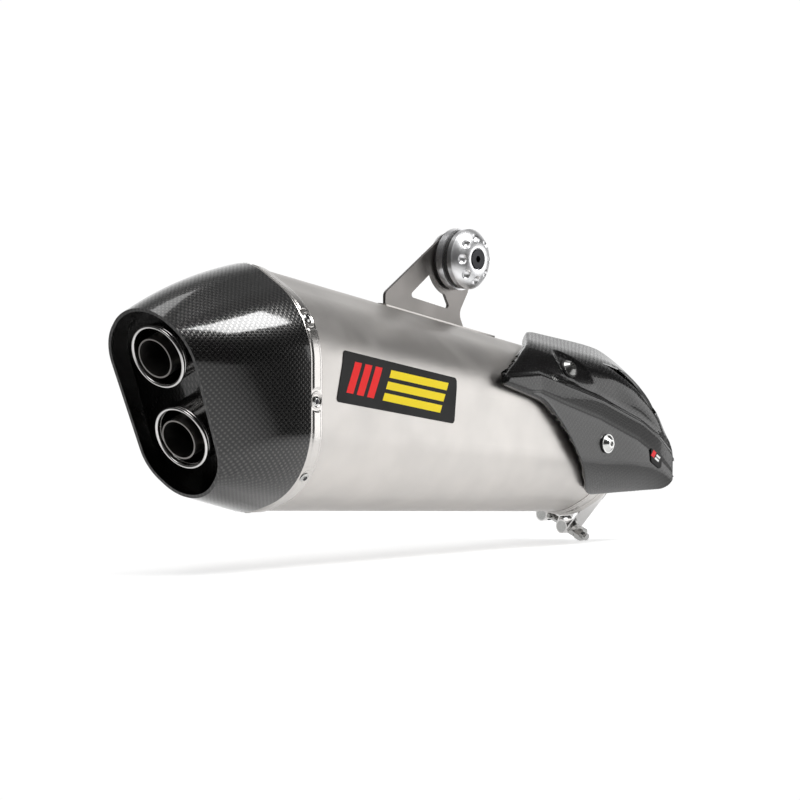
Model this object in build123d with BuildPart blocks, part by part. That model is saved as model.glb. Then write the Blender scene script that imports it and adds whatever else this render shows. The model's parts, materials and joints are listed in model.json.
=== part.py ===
from build123d import *

import os
from dataclasses import dataclass
from functools import lru_cache
from math import acos, atan2, cos, hypot, radians, sin

os.makedirs("parts", exist_ok=True)

# ---------------------------------------------------------------------------
# Frame: the origin is the centre of the inlet mouth, +X points out of the
# inlet, along the muffler, +Z is up, and the outer side of the muffler, with
# its heat shield, faces -Y. All sizes are in millimetres.
# ---------------------------------------------------------------------------

# Muffler stations along X
SLEEVE_LENGTH = 375.0
FRONT_X = -45.0
SEAM_X = FRONT_X - SLEEVE_LENGTH
COLLAR_LENGTH = 16.0
COLLAR_X = FRONT_X + COLLAR_LENGTH
SLEEVE_WALL = 1.0
TOUCH = 0.02  # a seat that meets its neighbour keeps this much play

# End cap
OUTLET_TILT = 22.5  # the outlets point rearward and this far down
CAP_WALL = 2.6
SEAM_WALL = 3.2
SPIGOT_LENGTH = 14.5
SPIGOT_WALL = 1.4
RIM_X = SEAM_X - 81.6
RIM_Z = 69.9
WAIST_X = SEAM_X - 43.5
WAIST_Z = 76.5
LIP_SINK = 5.0  # outlet lips sit this far inside the rim plane
FLOOR_DEPTH = 29.0
FLOOR_THICKNESS = 2.0

# Outlets
OUTLET_SPACING = 64.7
OUTLET_OFFSET = 2.4  # the pair's middle, above the middle of the rim
RING_RADIUS = 25.0
RING_TUBE_RADIUS = 23.5
RING_WALL = 1.5
RING_LENGTH = 44.0
LIP_RADIUS = 1.5
STEP_RADIUS = 1.35  # the second, smaller bead behind the lip
TAIL_RADIUS = 15.5
TAIL_WALL = 1.2
TAIL_PROUD = 2.2
TAIL_STRAIGHT = 46.0
TAIL_BEND = 60.0
TAIL_END_X = SEAM_X + 75.0
SPACER_RADIUS = 2.5
SPACER_DEPTH = 12.0
SPACER_COUNT = 3

# Inside the sleeve
BULKHEAD_X = SEAM_X + 20.0
MID_BAFFLE_X = SEAM_X + 165.0
FRONT_BAFFLE_X = -100.0
SHEET = 1.2
FLANGE = 8.0
CORE_RISE = 15.0
CORE_WALL = 1.0
CORE_OVERLAP = 10.0
CORE_PERF_RADIUS = 2.5
CORE_PERF_ROWS = 9
CORE_PERF_ROUND = 8

# Bands and rivets
BAND_LENGTH = 14.5
BAND_WALL = 0.8
RIVET_RADIUS = 2.0
RIVET_HEAD_RADIUS = 4.2
RIVET_HEAD_HEIGHT = 1.1
RIVET_TAIL_HEIGHT = 0.8

# Front end
RIM_BEAD = 2.2
INLET_BORE_RADIUS = 27.5
INLET_WALL = 1.5
INLET_STRAIGHT = 42.0
INLET_BEND = 80.0
INLET_TAIL = 14.0
INLET_SLOT_WIDTH = 2.5
INLET_SLOT_LENGTH = 22.0
NECK_WALL = 1.2
NECK_LENGTH = 3.0

# Clamp
CLAMP_MIDDLE_X = -12.0
CLAMP_WIDTH = 18.0
CLAMP_WALL = 1.0
CLAMP_PLAY = 0.06
CLAMP_TILT = 24.0  # the bolt points outward and this far down
TRUNNION_REACH = 43.5
TRUNNION_PITCH = 23.0
TRUNNION_RADIUS = 4.7
LOOP_WALL = 1.0
T_BOLT_RADIUS = 3.0
BOLT_PLAY = 0.08
SADDLE_RADIUS = 5.2
SADDLE_LENGTH = 6.4
NUT_FLATS = 10.0
NUT_HEIGHT = 6.0
NUT_GAP = 0.3
T_BOLT_PROUD = 4.0

# Hanger bracket and its rubber bush
BUSH_X = -172.8
BUSH_Z = 175.3
PLATE = 2.6
PAD = 1.2
PAD_HALF_WIDTH = 8.0
PAD_REAR_X = -262.0
PAD_FRONT_X = -128.0
EYE_RADIUS = 21.5
EYE_BORE = 12.0
WINDOW_RADIUS = 29.3
BUSH_CORE_RADIUS = 7.0
BUSH_BORE_PLAY = 0.08
HANGER_SHANK_RADIUS = 4.5
HANGER_THREAD_RADIUS = 4.0
BUSH_RING_RADIUS = 24.4
BUSH_RING_WIDTH = 6.0
RUBBER_INNER = 2.7
RUBBER_OUTER = 4.2
RUBBER_BACK = 1.8
RUBBER_LIP_RADIUS = 23.0
BACK_DISC_RADIUS = 20.5
BACK_DISC = 1.8
DOME_RIM_RADIUS = 23.7
DOME_RIM_WIDTH = 3.9
DOME_HEIGHT = 12.2
DOME_NOSE_RADIUS = 10.6
DOME_POCKET_RADIUS = 8.7
DOME_POCKET_DEPTH = 5.6
DIMPLE_COUNT = 8
DOME_BULGE = 1.6  # how far the dome's profile bows out between its rim and its nose
DIMPLE_PITCH_RADIUS = 18.2
DIMPLE_BALL = 5.2
DIMPLE_SINK = 2.0
FACE_GAP = 0.3
BOLT_HEAD_RADIUS = 7.6
BOLT_HEAD_HEIGHT = 5.6
BOLT_SOCKET_RADIUS = 2.9
BOLT_FREE_LENGTH = 24.0

# Heat shield
SHIELD_GAP = 6.0
SHIELD_WALL = 2.0
SHIELD_INNER_Y = -17.0
SHIELD_SCREW_HOLE = 5.0
SCREW_RADIUS = 3.0
SCREW_HEAD_RADIUS = 6.8
SCREW_HEAD_HEIGHT = 3.4
GROMMET_LIP_RADIUS = 7.6
GROMMET_LIP = 1.6
SCREW_SOCKET_RADIUS = 2.25
SCREW_SOCKET_DEPTH = 2.0
SCREW_WASHER = 0.8
STANDOFF_RADIUS = 5.5
STANDOFF_DEPTH = 6.0

# Name plate and badge: plain, thin foils
PLATE_FOIL = 0.4


@dataclass(frozen=True)
class Section:
    """A rounded six-sided outline, the same on both sides of the middle."""

    top: float
    shoulder: float
    hip: float
    bottom: float
    half_shoulder: float
    half_hip: float
    top_radius: float
    shoulder_radius: float
    hip_radius: float
    bottom_radius: float

    def corners(self):
        """Corner points (across, up), clockwise from the top as seen from the inlet."""
        return [
            (0, self.top),
            (self.half_shoulder, self.shoulder),
            (self.half_hip, self.hip),
            (0, self.bottom),
            (-self.half_hip, self.hip),
            (-self.half_shoulder, self.shoulder),
        ]

    def radii(self):
        """One radius for each corner."""
        return [
            self.top_radius,
            self.shoulder_radius,
            self.hip_radius,
            self.bottom_radius,
            self.hip_radius,
            self.shoulder_radius,
        ]


REAR = Section(178.2, 136.7, 8.7, -15.6, 67.8, 67.8, 39.0, 65.3, 60.0, 60.0)
FRONT = Section(102.0, 73.0, -8.0, -37.5, 54.0, 54.0, 34.0, 46.0, 42.0, 50.0)
WAIST = Section(92.0, 52.0, -62.0, -89.5, 61.0, 58.0, 39.0, 52.0, 48.0, 48.0)
RIM = Section(92.0, 49.0, -52.0, -90.3, 43.2, 38.8, 40.0, 40.0, 36.0, 36.0)


def between(first, last, share):
    """The outline a given share of the way from one section to another."""
    names = Section.__dataclass_fields__
    return Section(*(getattr(first, n) * (1 - share) + getattr(last, n) * share for n in names))


def sleeve_section(x):
    """The sleeve's outside at a station."""
    return between(REAR, FRONT, (x - SEAM_X) / SLEEVE_LENGTH)


def station(x):
    """The upright plane across the muffler at x: its own x is +Y and its own y is +Z."""
    return Plane(origin=(x, 0, 0), x_dir=(0, 1, 0), z_dir=(1, 0, 0))


def tilted(x, z, tilt):
    """A plane across the end cap, leaning forward at its top by tilt degrees."""
    lean = (cos(radians(tilt)), 0, sin(radians(tilt)))
    return Plane(origin=(x, 0, z), x_dir=(0, 1, 0), z_dir=lean)


def side_normals(corners):
    """The outward normal of the side that starts at each corner."""
    normals = []
    for (y0, z0), (y1, z1) in zip(corners, corners[1:] + corners[:1]):
        length = hypot(y1 - y0, z1 - z0)
        normals.append((-(z1 - z0) / length, (y1 - y0) / length))
    return normals


def bisector(corners, index):
    """The direction out of a corner, and how far the corner moves for each unit of growth."""
    normals = side_normals(corners)
    (a, b), (c, d) = normals[index - 1], normals[index]
    share = 1 + a * c + b * d
    return (a + c) / share, (b + d) / share


def outline(section, grow=0.0):
    """The filled outline, grown outward by grow."""
    corners = section.corners()
    moved = []
    for index, (y, z) in enumerate(corners):
        out_y, out_z = bisector(corners, index)
        moved.append((y + out_y * grow, z + out_z * grow))
    with BuildSketch() as filled:
        with BuildLine():
            FilletPolyline(*moved, radius=[r + grow for r in section.radii()], close=True)
        make_face()
    return filled.sketch


@lru_cache
def whole_taper(grow):
    """The muffler's whole taper as a solid, from seam to collar, grown outward by grow."""
    with BuildPart() as solid:
        for x in (SEAM_X, COLLAR_X):
            with BuildSketch(station(x)):
                add(outline(sleeve_section(x), grow))
        loft(ruled=True)
    return solid.part


def taper(x_from, x_to, grow):
    """A solid length of the muffler's taper, grown outward by grow."""
    with BuildPart() as solid:
        add(whole_taper(grow))
        with BuildSketch(station(x_from)):
            Rectangle(4 * REAR.half_hip, 4 * REAR.top)
        extrude(amount=x_to - x_from, mode=Mode.INTERSECT)
    return solid.part


def surface_spot(section, index, grow):
    """The point (across, up) at the middle of a corner's arc, and its outward direction."""
    corners = section.corners()
    out_y, out_z = bisector(corners, index)
    stretch = hypot(out_y, out_z)
    radius = section.radii()[index]
    y, z = corners[index]
    along = (out_y / stretch, out_z / stretch)
    reach = grow - radius * (stretch - 1)
    return (y + along[0] * reach, z + along[1] * reach), along


def ring_points(x, grow):
    """One point and outward direction on each corner's arc and in the middle of each side."""
    section = sleeve_section(x)
    points = [surface_spot(section, index, grow) for index in range(6)]
    middle = (section.shoulder + section.hip) / 2
    for side in (1, -1):
        points.append(((side * (section.half_hip + grow), middle), (side, 0)))
    return points


def band_spots(x):
    """Planes on the sleeve's surface where a ring of rivets sits, each facing outward."""
    spots = []
    for (point, out), (ahead, _) in zip(ring_points(x, 0), ring_points(x + 1, 0)):
        rise = (ahead[0] - point[0]) * out[0] + (ahead[1] - point[1]) * out[1]
        facing = Vector(-rise, *out)
        spots.append(Plane(origin=(x, *point), x_dir=(1, 0, rise), z_dir=facing))
    return spots


def save(builder, name):
    """Label a finished piece and write it under its node's name."""
    builder.part.label = name
    export_step(builder.part, f"parts/{name}.step")


# ---------------------------------------------------------------------------
# Sleeve
# ---------------------------------------------------------------------------
BOTTOM = 3
REAR_SPOTS = band_spots(SEAM_X + SPIGOT_LENGTH / 2)
FRONT_SPOTS = band_spots(FRONT_X + COLLAR_LENGTH / 2)
del FRONT_SPOTS[BOTTOM]  # the inlet pipe runs close under this one


def rivet_holes(spots):
    """Through-holes for one ring of rivets, cut from the part being built."""
    for spot in spots:
        with Locations(spot):
            Cylinder(RIVET_RADIUS + TOUCH, 4 * RIVET_HEAD_RADIUS, mode=Mode.SUBTRACT)


with BuildPart() as sleeve:
    add(taper(SEAM_X, FRONT_X, 0))
    add(taper(SEAM_X, FRONT_X, -SLEEVE_WALL), mode=Mode.SUBTRACT)
    rivet_holes(REAR_SPOTS)
save(sleeve, "sleeve")

# ---------------------------------------------------------------------------
# Carbon end cap: one shell from the seam to the tilted rim, with a spigot that
# slides into the sleeve
# ---------------------------------------------------------------------------
RIM_PLANE = tilted(RIM_X, RIM_Z, OUTLET_TILT)
WAIST_PLANE = tilted(WAIST_X, WAIST_Z, OUTLET_TILT / 2)


def cap_form(seam_grow, wall):
    """The end cap's swelling solid form, from the rim by the waist to the seam."""
    with BuildPart() as solid:
        with BuildSketch(RIM_PLANE):
            add(outline(RIM, -wall))
        with BuildSketch(WAIST_PLANE):
            add(outline(WAIST, -wall))
        with BuildSketch(station(SEAM_X)):
            add(outline(REAR, seam_grow))
        loft()
    return solid.part


CAP_HOLLOW = cap_form(BAND_WALL - SEAM_WALL, CAP_WALL)
SPIGOT_HOLLOW = taper(SEAM_X, SEAM_X + SPIGOT_LENGTH, -SLEEVE_WALL - SPIGOT_WALL)

with BuildPart() as end_cap:
    add(cap_form(BAND_WALL, 0))
    add(taper(SEAM_X, SEAM_X + SPIGOT_LENGTH, -SLEEVE_WALL))
    add(CAP_HOLLOW, mode=Mode.SUBTRACT)
    add(SPIGOT_HOLLOW, mode=Mode.SUBTRACT)
    rivet_holes(REAR_SPOTS)
save(end_cap, "end_cap")

LIP_PLANE = RIM_PLANE.offset(LIP_SINK)


def outlet_plane(side):
    """The plane of one outlet's lip: its own z points into the muffler."""
    height = OUTLET_OFFSET + side * OUTLET_SPACING / 2
    return LIP_PLANE.shift_origin(LIP_PLANE.from_local_coords((0, height, 0)))


OUTLETS = {"upper": outlet_plane(1), "lower": outlet_plane(-1)}

with BuildPart() as end_cap_floor:
    add(CAP_HOLLOW)
    with BuildSketch(RIM_PLANE.offset(FLOOR_DEPTH)):
        Rectangle(4 * WAIST.half_shoulder, 4 * WAIST.top)
    extrude(amount=FLOOR_THICKNESS, mode=Mode.INTERSECT)
    for plane in OUTLETS.values():
        with BuildSketch(plane):
            Circle(RING_TUBE_RADIUS + TOUCH)
        extrude(amount=2 * FLOOR_DEPTH, mode=Mode.SUBTRACT)
save(end_cap_floor, "end_cap_floor")

# ---------------------------------------------------------------------------
# Outlets: a rolled ring round each tail pipe, held off it by three spacers, and
# the elbow that carries the pipe on to the bulkhead
# ---------------------------------------------------------------------------
turn = radians(OUTLET_TILT)


def tail_bend(plane):
    """Where a tail pipe leaves its slanted run, passes mid-bend and runs level."""
    start = plane.from_local_coords((0, 0, TAIL_STRAIGHT - TAIL_PROUD))
    return [
        start + Vector(TAIL_BEND * (sin(turn) - sin(now)), 0, TAIL_BEND * (cos(now) - cos(turn)))
        for now in (turn, turn / 2, 0)
    ]


def tail_height(plane):
    """The height of a tail pipe's level run."""
    return tail_bend(plane)[-1].Z


for name, plane in OUTLETS.items():
    with BuildPart() as outlet_ring:
        with BuildSketch(plane.offset(LIP_RADIUS)):
            Circle(RING_TUBE_RADIUS)
            Circle(RING_TUBE_RADIUS - RING_WALL, mode=Mode.SUBTRACT)
        extrude(amount=RING_LENGTH)
        with Locations(plane.offset(LIP_RADIUS)):
            Torus(RING_RADIUS - LIP_RADIUS, LIP_RADIUS)
        with Locations(plane.offset(3 * LIP_RADIUS)):
            Torus(RING_TUBE_RADIUS + RING_WALL / 2 - STEP_RADIUS, STEP_RADIUS)
    save(outlet_ring, f"outlet_ring_{name}")

    mouth = plane.offset(-TAIL_PROUD)
    bend = tail_bend(plane)
    with BuildPart() as tail_pipe:
        with BuildSketch(mouth):
            Circle(TAIL_RADIUS)
            Circle(TAIL_RADIUS - TAIL_WALL, mode=Mode.SUBTRACT)
        extrude(amount=TAIL_STRAIGHT)
    save(tail_pipe, f"tail_pipe_{name}")

    with BuildPart() as tail_elbow:
        with BuildLine() as run:
            ThreePointArc(*bend)
            Line(bend[-1], (TAIL_END_X, 0, bend[-1].Z))
        with BuildSketch(mouth.offset(TAIL_STRAIGHT)):
            Circle(TAIL_RADIUS)
            Circle(TAIL_RADIUS - TAIL_WALL, mode=Mode.SUBTRACT)
        sweep(path=run.line)
    save(tail_elbow, f"tail_elbow_{name}")

    gap = RING_TUBE_RADIUS - RING_WALL - TAIL_RADIUS
    with BuildPart() as outlet_spacers:
        with BuildSketch(plane.offset(SPACER_DEPTH)):
            with PolarLocations(TAIL_RADIUS + gap / 2, SPACER_COUNT, start_angle=90):
                Circle(gap / 2 - TOUCH)
        extrude(amount=2 * SPACER_RADIUS)
    save(outlet_spacers, f"outlet_spacers_{name}")

# ---------------------------------------------------------------------------
# Inside the sleeve: a bulkhead and two baffles, the perforated core tube from
# the inlet, and the sound-absorbing packing round it
# ---------------------------------------------------------------------------
INLET_RADIUS = INLET_BORE_RADIUS + INLET_WALL
CORE_RADIUS = INLET_BORE_RADIUS - TOUCH
rise = radians(CORE_RISE)
inlet_bend_start = Vector(-INLET_STRAIGHT, 0, 0)
inlet_bend_end = inlet_bend_start + Vector(
    -INLET_BEND * sin(rise), 0, INLET_BEND * (1 - cos(rise))
)
CORE_PLANE = Plane(
    origin=inlet_bend_end, x_dir=(0, 1, 0), z_dir=(-cos(rise), 0, sin(rise))
).offset(INLET_TAIL - CORE_OVERLAP)
CORE_LENGTH = (CORE_PLANE.origin.X - MID_BAFFLE_X + FLANGE) / cos(rise)


def pressed_plate(x):
    """A pressed plate across the sleeve at x, with a flange that follows the sleeve."""
    with BuildPart() as plate:
        add(taper(x, x + FLANGE, -SLEEVE_WALL - TOUCH))
        add(taper(x + SHEET, x + FLANGE, -SLEEVE_WALL - SHEET), mode=Mode.SUBTRACT)
    return plate.part


with BuildPart() as core_tube:
    with BuildSketch(CORE_PLANE):
        Circle(CORE_RADIUS)
        Circle(CORE_RADIUS - CORE_WALL, mode=Mode.SUBTRACT)
    extrude(amount=CORE_LENGTH)
    pitch = (CORE_LENGTH - 4 * CORE_OVERLAP) / (CORE_PERF_ROWS - 1)
    for row in range(CORE_PERF_ROWS):
        level = CORE_PLANE.offset(2 * CORE_OVERLAP + row * pitch)
        with Locations(level):
            for turn_step in range(CORE_PERF_ROUND // 2):
                Cylinder(
                    CORE_PERF_RADIUS,
                    4 * CORE_RADIUS,
                    rotation=(90, 0, turn_step * 360 / CORE_PERF_ROUND),
                    mode=Mode.SUBTRACT,
                )
save(core_tube, "core_tube")

with BuildPart() as core_path:
    with BuildSketch(CORE_PLANE):
        Circle(CORE_RADIUS + TOUCH)
    extrude(amount=2 * CORE_LENGTH)

with BuildPart() as front_baffle:
    add(pressed_plate(FRONT_BAFFLE_X))
    add(core_path.part, mode=Mode.SUBTRACT)
save(front_baffle, "front_baffle")

with BuildPart() as mid_baffle:
    add(pressed_plate(MID_BAFFLE_X))
    add(core_path.part, mode=Mode.SUBTRACT)
save(mid_baffle, "mid_baffle")

with BuildPart() as packing:
    add(taper(MID_BAFFLE_X + FLANGE, FRONT_BAFFLE_X, -SLEEVE_WALL - TOUCH))
    add(core_path.part, mode=Mode.SUBTRACT)
save(packing, "packing")

with BuildPart() as rear_bulkhead:
    add(pressed_plate(BULKHEAD_X))
    for plane in OUTLETS.values():
        with Locations((BULKHEAD_X, 0, tail_height(plane))):
            Cylinder(TAIL_RADIUS + TOUCH, 4 * FLANGE, rotation=(0, 90, 0), mode=Mode.SUBTRACT)
save(rear_bulkhead, "rear_bulkhead")

# ---------------------------------------------------------------------------
# Front cap, its band, and the inlet pipe
# ---------------------------------------------------------------------------
with BuildPart() as front_cap:
    add(taper(FRONT_X - SPIGOT_LENGTH, COLLAR_X, -SLEEVE_WALL - TOUCH))
    add(
        taper(FRONT_X - SPIGOT_LENGTH, COLLAR_X - SHEET, -SLEEVE_WALL - SHEET),
        mode=Mode.SUBTRACT,
    )
    with BuildSketch(station(COLLAR_X)):
        Circle(INLET_RADIUS + NECK_WALL)
    extrude(amount=NECK_LENGTH)
    with BuildSketch(station(COLLAR_X + NECK_LENGTH)):
        Circle(INLET_RADIUS + TOUCH)
    extrude(amount=-2 * (COLLAR_LENGTH + SPIGOT_LENGTH), mode=Mode.SUBTRACT)
    rivet_holes(FRONT_SPOTS)
save(front_cap, "front_cap")

with BuildPart() as front_band:
    add(taper(FRONT_X, COLLAR_X, BAND_WALL))
    add(taper(COLLAR_X - RIM_BEAD, COLLAR_X, BAND_WALL + RIM_BEAD))
    add(whole_taper(-SLEEVE_WALL), mode=Mode.SUBTRACT)
    rivet_holes(FRONT_SPOTS)
save(front_band, "front_band")

with BuildPart() as rear_band:
    add(taper(SEAM_X, SEAM_X + BAND_LENGTH, BAND_WALL))
    add(whole_taper(0), mode=Mode.SUBTRACT)
    rivet_holes(REAR_SPOTS)
save(rear_band, "rear_band")


def rivet_ring(spots, inner_grow):
    """A ring of blind rivets whose tails spread inside the surface grown by inner_grow."""
    stack = BAND_WALL - inner_grow
    with BuildPart() as tails:
        for spot in spots:
            with Locations(spot.offset(inner_grow)):
                Cylinder(RIVET_HEAD_RADIUS, 2 * RIVET_TAIL_HEIGHT)
        add(whole_taper(inner_grow), mode=Mode.INTERSECT)
    with BuildPart() as rivets:
        for spot in spots:
            with Locations(spot.offset(BAND_WALL)):
                Cone(RIVET_HEAD_RADIUS, RIVET_RADIUS, 2 * RIVET_HEAD_HEIGHT)
        add(whole_taper(BAND_WALL), mode=Mode.SUBTRACT)
        for spot in spots:
            with Locations(spot.offset(BAND_WALL - stack / 2)):
                Cylinder(RIVET_RADIUS, stack + RIVET_TAIL_HEIGHT)
        add(tails.part)
    return rivets


save(rivet_ring(REAR_SPOTS, -SLEEVE_WALL - SPIGOT_WALL), "rear_rivets")
save(rivet_ring(FRONT_SPOTS, -SLEEVE_WALL - SHEET), "front_rivets")

with BuildPart() as inlet_pipe:
    with BuildLine() as inlet_run:
        Line((0, 0, 0), inlet_bend_start)
        ThreePointArc(
            inlet_bend_start,
            inlet_bend_start
            + Vector(-INLET_BEND * sin(rise / 2), 0, INLET_BEND * (1 - cos(rise / 2))),
            inlet_bend_end,
        )
        Line(inlet_bend_end, CORE_PLANE.offset(CORE_OVERLAP).origin)
    with BuildSketch(Plane(origin=(0, 0, 0), x_dir=(0, 1, 0), z_dir=(-1, 0, 0))):
        Circle(INLET_RADIUS)
        Circle(INLET_BORE_RADIUS, mode=Mode.SUBTRACT)
    sweep(path=inlet_run.line)
    with Locations((0, 0, 0)):
        Box(2 * INLET_SLOT_LENGTH, 3 * INLET_RADIUS, INLET_SLOT_WIDTH, mode=Mode.SUBTRACT)
        Box(2 * INLET_SLOT_LENGTH, INLET_SLOT_WIDTH, 3 * INLET_RADIUS, mode=Mode.SUBTRACT)
save(inlet_pipe, "inlet_pipe")

# ---------------------------------------------------------------------------
# Clamp round the inlet: a band with two loops, a T-bolt, a drilled trunnion, a
# thrust saddle and a nut. Its own plane has x along the bolt and y towards it.
# ---------------------------------------------------------------------------
tilt = radians(CLAMP_TILT)
CLAMP_PLANE = Plane(
    origin=(CLAMP_MIDDLE_X, 0, 0), x_dir=(0, -cos(tilt), -sin(tilt)), z_dir=(1, 0, 0)
)
BOLT_LINE = Plane(
    origin=CLAMP_PLANE.from_local_coords((0, TRUNNION_REACH, 0)),
    x_dir=(1, 0, 0),
    z_dir=CLAMP_PLANE.x_dir,
)
BAND_INNER = INLET_RADIUS + CLAMP_PLAY
BAND_OUTER = BAND_INNER + CLAMP_WALL
LOOP_RADIUS = TRUNNION_RADIUS + LOOP_WALL
GRIP = TRUNNION_PITCH / 2
SADDLE_SEAT = GRIP + TRUNNION_RADIUS
NUT_SEAT = SADDLE_SEAT + SADDLE_LENGTH + NUT_GAP


def outer_strap():
    """The strap that leaves the band on a tangent and runs out to the loop, as four points."""
    reach = hypot(GRIP, TRUNNION_REACH)
    angle = atan2(TRUNNION_REACH, GRIP) - acos((BAND_OUTER - LOOP_RADIUS) / reach)
    out = Vector(cos(angle), sin(angle))
    on_band = out * BAND_OUTER
    on_loop = Vector(GRIP, TRUNNION_REACH) + out * LOOP_RADIUS
    return [on_band, on_loop, on_loop - out * LOOP_WALL, on_band - out * LOOP_WALL]


with BuildPart() as clamp_band:
    with BuildSketch(CLAMP_PLANE.offset(-CLAMP_WIDTH / 2)):
        Circle(BAND_OUTER)
        with BuildLine():
            Polyline(*outer_strap(), close=True)
        make_face()
        with Locations((GRIP, TRUNNION_REACH)):
            Circle(LOOP_RADIUS)
        with Locations((GRIP - LOOP_RADIUS + LOOP_WALL / 2, (TRUNNION_REACH + BAND_INNER) / 2)):
            Rectangle(LOOP_WALL, TRUNNION_REACH - BAND_INNER + 2 * LOOP_WALL)
        mirror(about=Plane.YZ)
        Circle(BAND_INNER, mode=Mode.SUBTRACT)
        with Locations((GRIP, TRUNNION_REACH), (-GRIP, TRUNNION_REACH)):
            Circle(TRUNNION_RADIUS + TOUCH, mode=Mode.SUBTRACT)
        with Locations((0, BAND_OUTER)):
            Rectangle(2 * (GRIP - LOOP_RADIUS), 2 * LOOP_RADIUS, mode=Mode.SUBTRACT)
    extrude(amount=CLAMP_WIDTH)
    with Locations(BOLT_LINE):
        Cylinder(SADDLE_RADIUS + NUT_GAP, 4 * TRUNNION_PITCH, mode=Mode.SUBTRACT)
save(clamp_band, "clamp_band")

T_BOLT_LENGTH = GRIP + NUT_SEAT + NUT_HEIGHT + T_BOLT_PROUD
with BuildPart() as t_bolt:
    with BuildSketch(CLAMP_PLANE.offset(-CLAMP_WIDTH / 2)):
        with Locations((-GRIP, TRUNNION_REACH)):
            Circle(TRUNNION_RADIUS)
    extrude(amount=CLAMP_WIDTH)
    with BuildSketch(BOLT_LINE.offset(-GRIP)):
        Circle(T_BOLT_RADIUS)
    extrude(amount=T_BOLT_LENGTH)
save(t_bolt, "t_bolt")

with BuildPart() as trunnion_solid:
    with BuildSketch(CLAMP_PLANE.offset(-CLAMP_WIDTH / 2)):
        with Locations((GRIP, TRUNNION_REACH)):
            Circle(TRUNNION_RADIUS)
    extrude(amount=CLAMP_WIDTH)

with BuildPart() as clamp_trunnion:
    add(trunnion_solid.part)
    with Locations(BOLT_LINE):
        Cylinder(T_BOLT_RADIUS + BOLT_PLAY, 4 * TRUNNION_PITCH, mode=Mode.SUBTRACT)
save(clamp_trunnion, "clamp_trunnion")

with BuildPart() as clamp_saddle:
    with BuildSketch(BOLT_LINE.offset(GRIP)):
        Circle(SADDLE_RADIUS)
        Circle(T_BOLT_RADIUS + BOLT_PLAY, mode=Mode.SUBTRACT)
    extrude(amount=TRUNNION_RADIUS + SADDLE_LENGTH)
    add(trunnion_solid.part, mode=Mode.SUBTRACT)
save(clamp_saddle, "clamp_saddle")

with BuildPart() as clamp_nut:
    with BuildSketch(BOLT_LINE.offset(NUT_SEAT)):
        RegularPolygon(NUT_FLATS / 2, 6, major_radius=False)
        Circle(T_BOLT_RADIUS + BOLT_PLAY, mode=Mode.SUBTRACT)
    extrude(amount=NUT_HEIGHT)
save(clamp_nut, "clamp_nut")

# ---------------------------------------------------------------------------
# Hanger: a pad along the ridge, the bracket plate, and the rubber bush with
# its core, washers and bolt, stacked along Y
# ---------------------------------------------------------------------------
with BuildPart() as bracket_pad:
    add(taper(PAD_REAR_X, PAD_FRONT_X, PAD))
    add(whole_taper(0), mode=Mode.SUBTRACT)
    with Locations(((PAD_REAR_X + PAD_FRONT_X) / 2, 0, REAR.top)):
        Box(2 * (PAD_FRONT_X - PAD_REAR_X), 2 * PAD_HALF_WIDTH, 2 * REAR.top, mode=Mode.INTERSECT)
save(bracket_pad, "bracket_pad")


def ridge_height(x, grow=0.0):
    """The height of the sleeve's top line at x."""
    return surface_spot(sleeve_section(x), 0, grow)[0][1]


BUSH = (BUSH_X, BUSH_Z)
REAR_FOOT_X = -255.3
FRONT_FOOT_X = -157.5
EYE_SLOPE = 30.0
SHOULDER_DROP = 26.0
HEEL_RADIUS = 5.0
NECK_TOP = (21.0, 2.0)  # forward of the bush, and below it
NECK_SIDE = (19.5, 25.0)
NECK_WAIST = (7.5, 43.0)
NECK_RADIUS = 9.0
WINDOW = [(54.5, 28.8), (22.0, 7.4), (2.8, 39.8)]  # back from the bush, and below it
WINDOW_CORNER = 2.4
eye_out = (sin(radians(EYE_SLOPE)), cos(radians(EYE_SLOPE)))

with BuildPart() as hanger_bracket:
    with BuildSketch(Plane.XZ) as bracket_outline:
        with BuildLine():
            FilletPolyline(
                (REAR_FOOT_X, ridge_height(REAR_FOOT_X) - PLATE),
                (REAR_FOOT_X, BUSH_Z - SHOULDER_DROP),
                (BUSH_X - EYE_RADIUS * eye_out[0], BUSH_Z + EYE_RADIUS * eye_out[1]),
                BUSH,
                (BUSH_X + NECK_TOP[0], BUSH_Z - NECK_TOP[1]),
                (BUSH_X + NECK_SIDE[0], BUSH_Z - NECK_SIDE[1]),
                (BUSH_X + NECK_WAIST[0], BUSH_Z - NECK_WAIST[1]),
                (FRONT_FOOT_X, ridge_height(FRONT_FOOT_X) - PLATE),
                radius=[0, HEEL_RADIUS, 0, 0, 0, NECK_RADIUS, NECK_RADIUS, 0],
                close=True,
            )
        make_face()
        with Locations(BUSH):
            Circle(EYE_RADIUS)
            Circle(EYE_BORE, mode=Mode.SUBTRACT)
        with BuildSketch(mode=Mode.SUBTRACT) as window:
            with BuildLine():
                Polyline(*[(BUSH_X - back, BUSH_Z - drop) for back, drop in WINDOW], close=True)
            make_face()
            with Locations(BUSH):
                Circle(WINDOW_RADIUS, mode=Mode.SUBTRACT)
            fillet(window.vertices(), WINDOW_CORNER)
    extrude(amount=PLATE / 2, both=True)
    add(whole_taper(PAD), mode=Mode.SUBTRACT)
save(hanger_bracket, "hanger_bracket")

PLATE_FACE = PLATE / 2
RING_FACE = PLATE_FACE + RUBBER_INNER
RING_FRONT = RING_FACE + BUSH_RING_WIDTH
RUBBER_FRONT = RING_FRONT + RUBBER_OUTER
DOME_BACK = RUBBER_FRONT + FACE_GAP
DOME_FRONT = DOME_BACK + DOME_HEIGHT
POCKET_FLOOR = DOME_FRONT - DOME_POCKET_DEPTH
RUBBER_REAR = -PLATE_FACE - RUBBER_BACK
DISC_FACE = RUBBER_REAR - FACE_GAP
DISC_BACK = DISC_FACE - BACK_DISC
BORE = HANGER_SHANK_RADIUS + BUSH_BORE_PLAY

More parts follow.
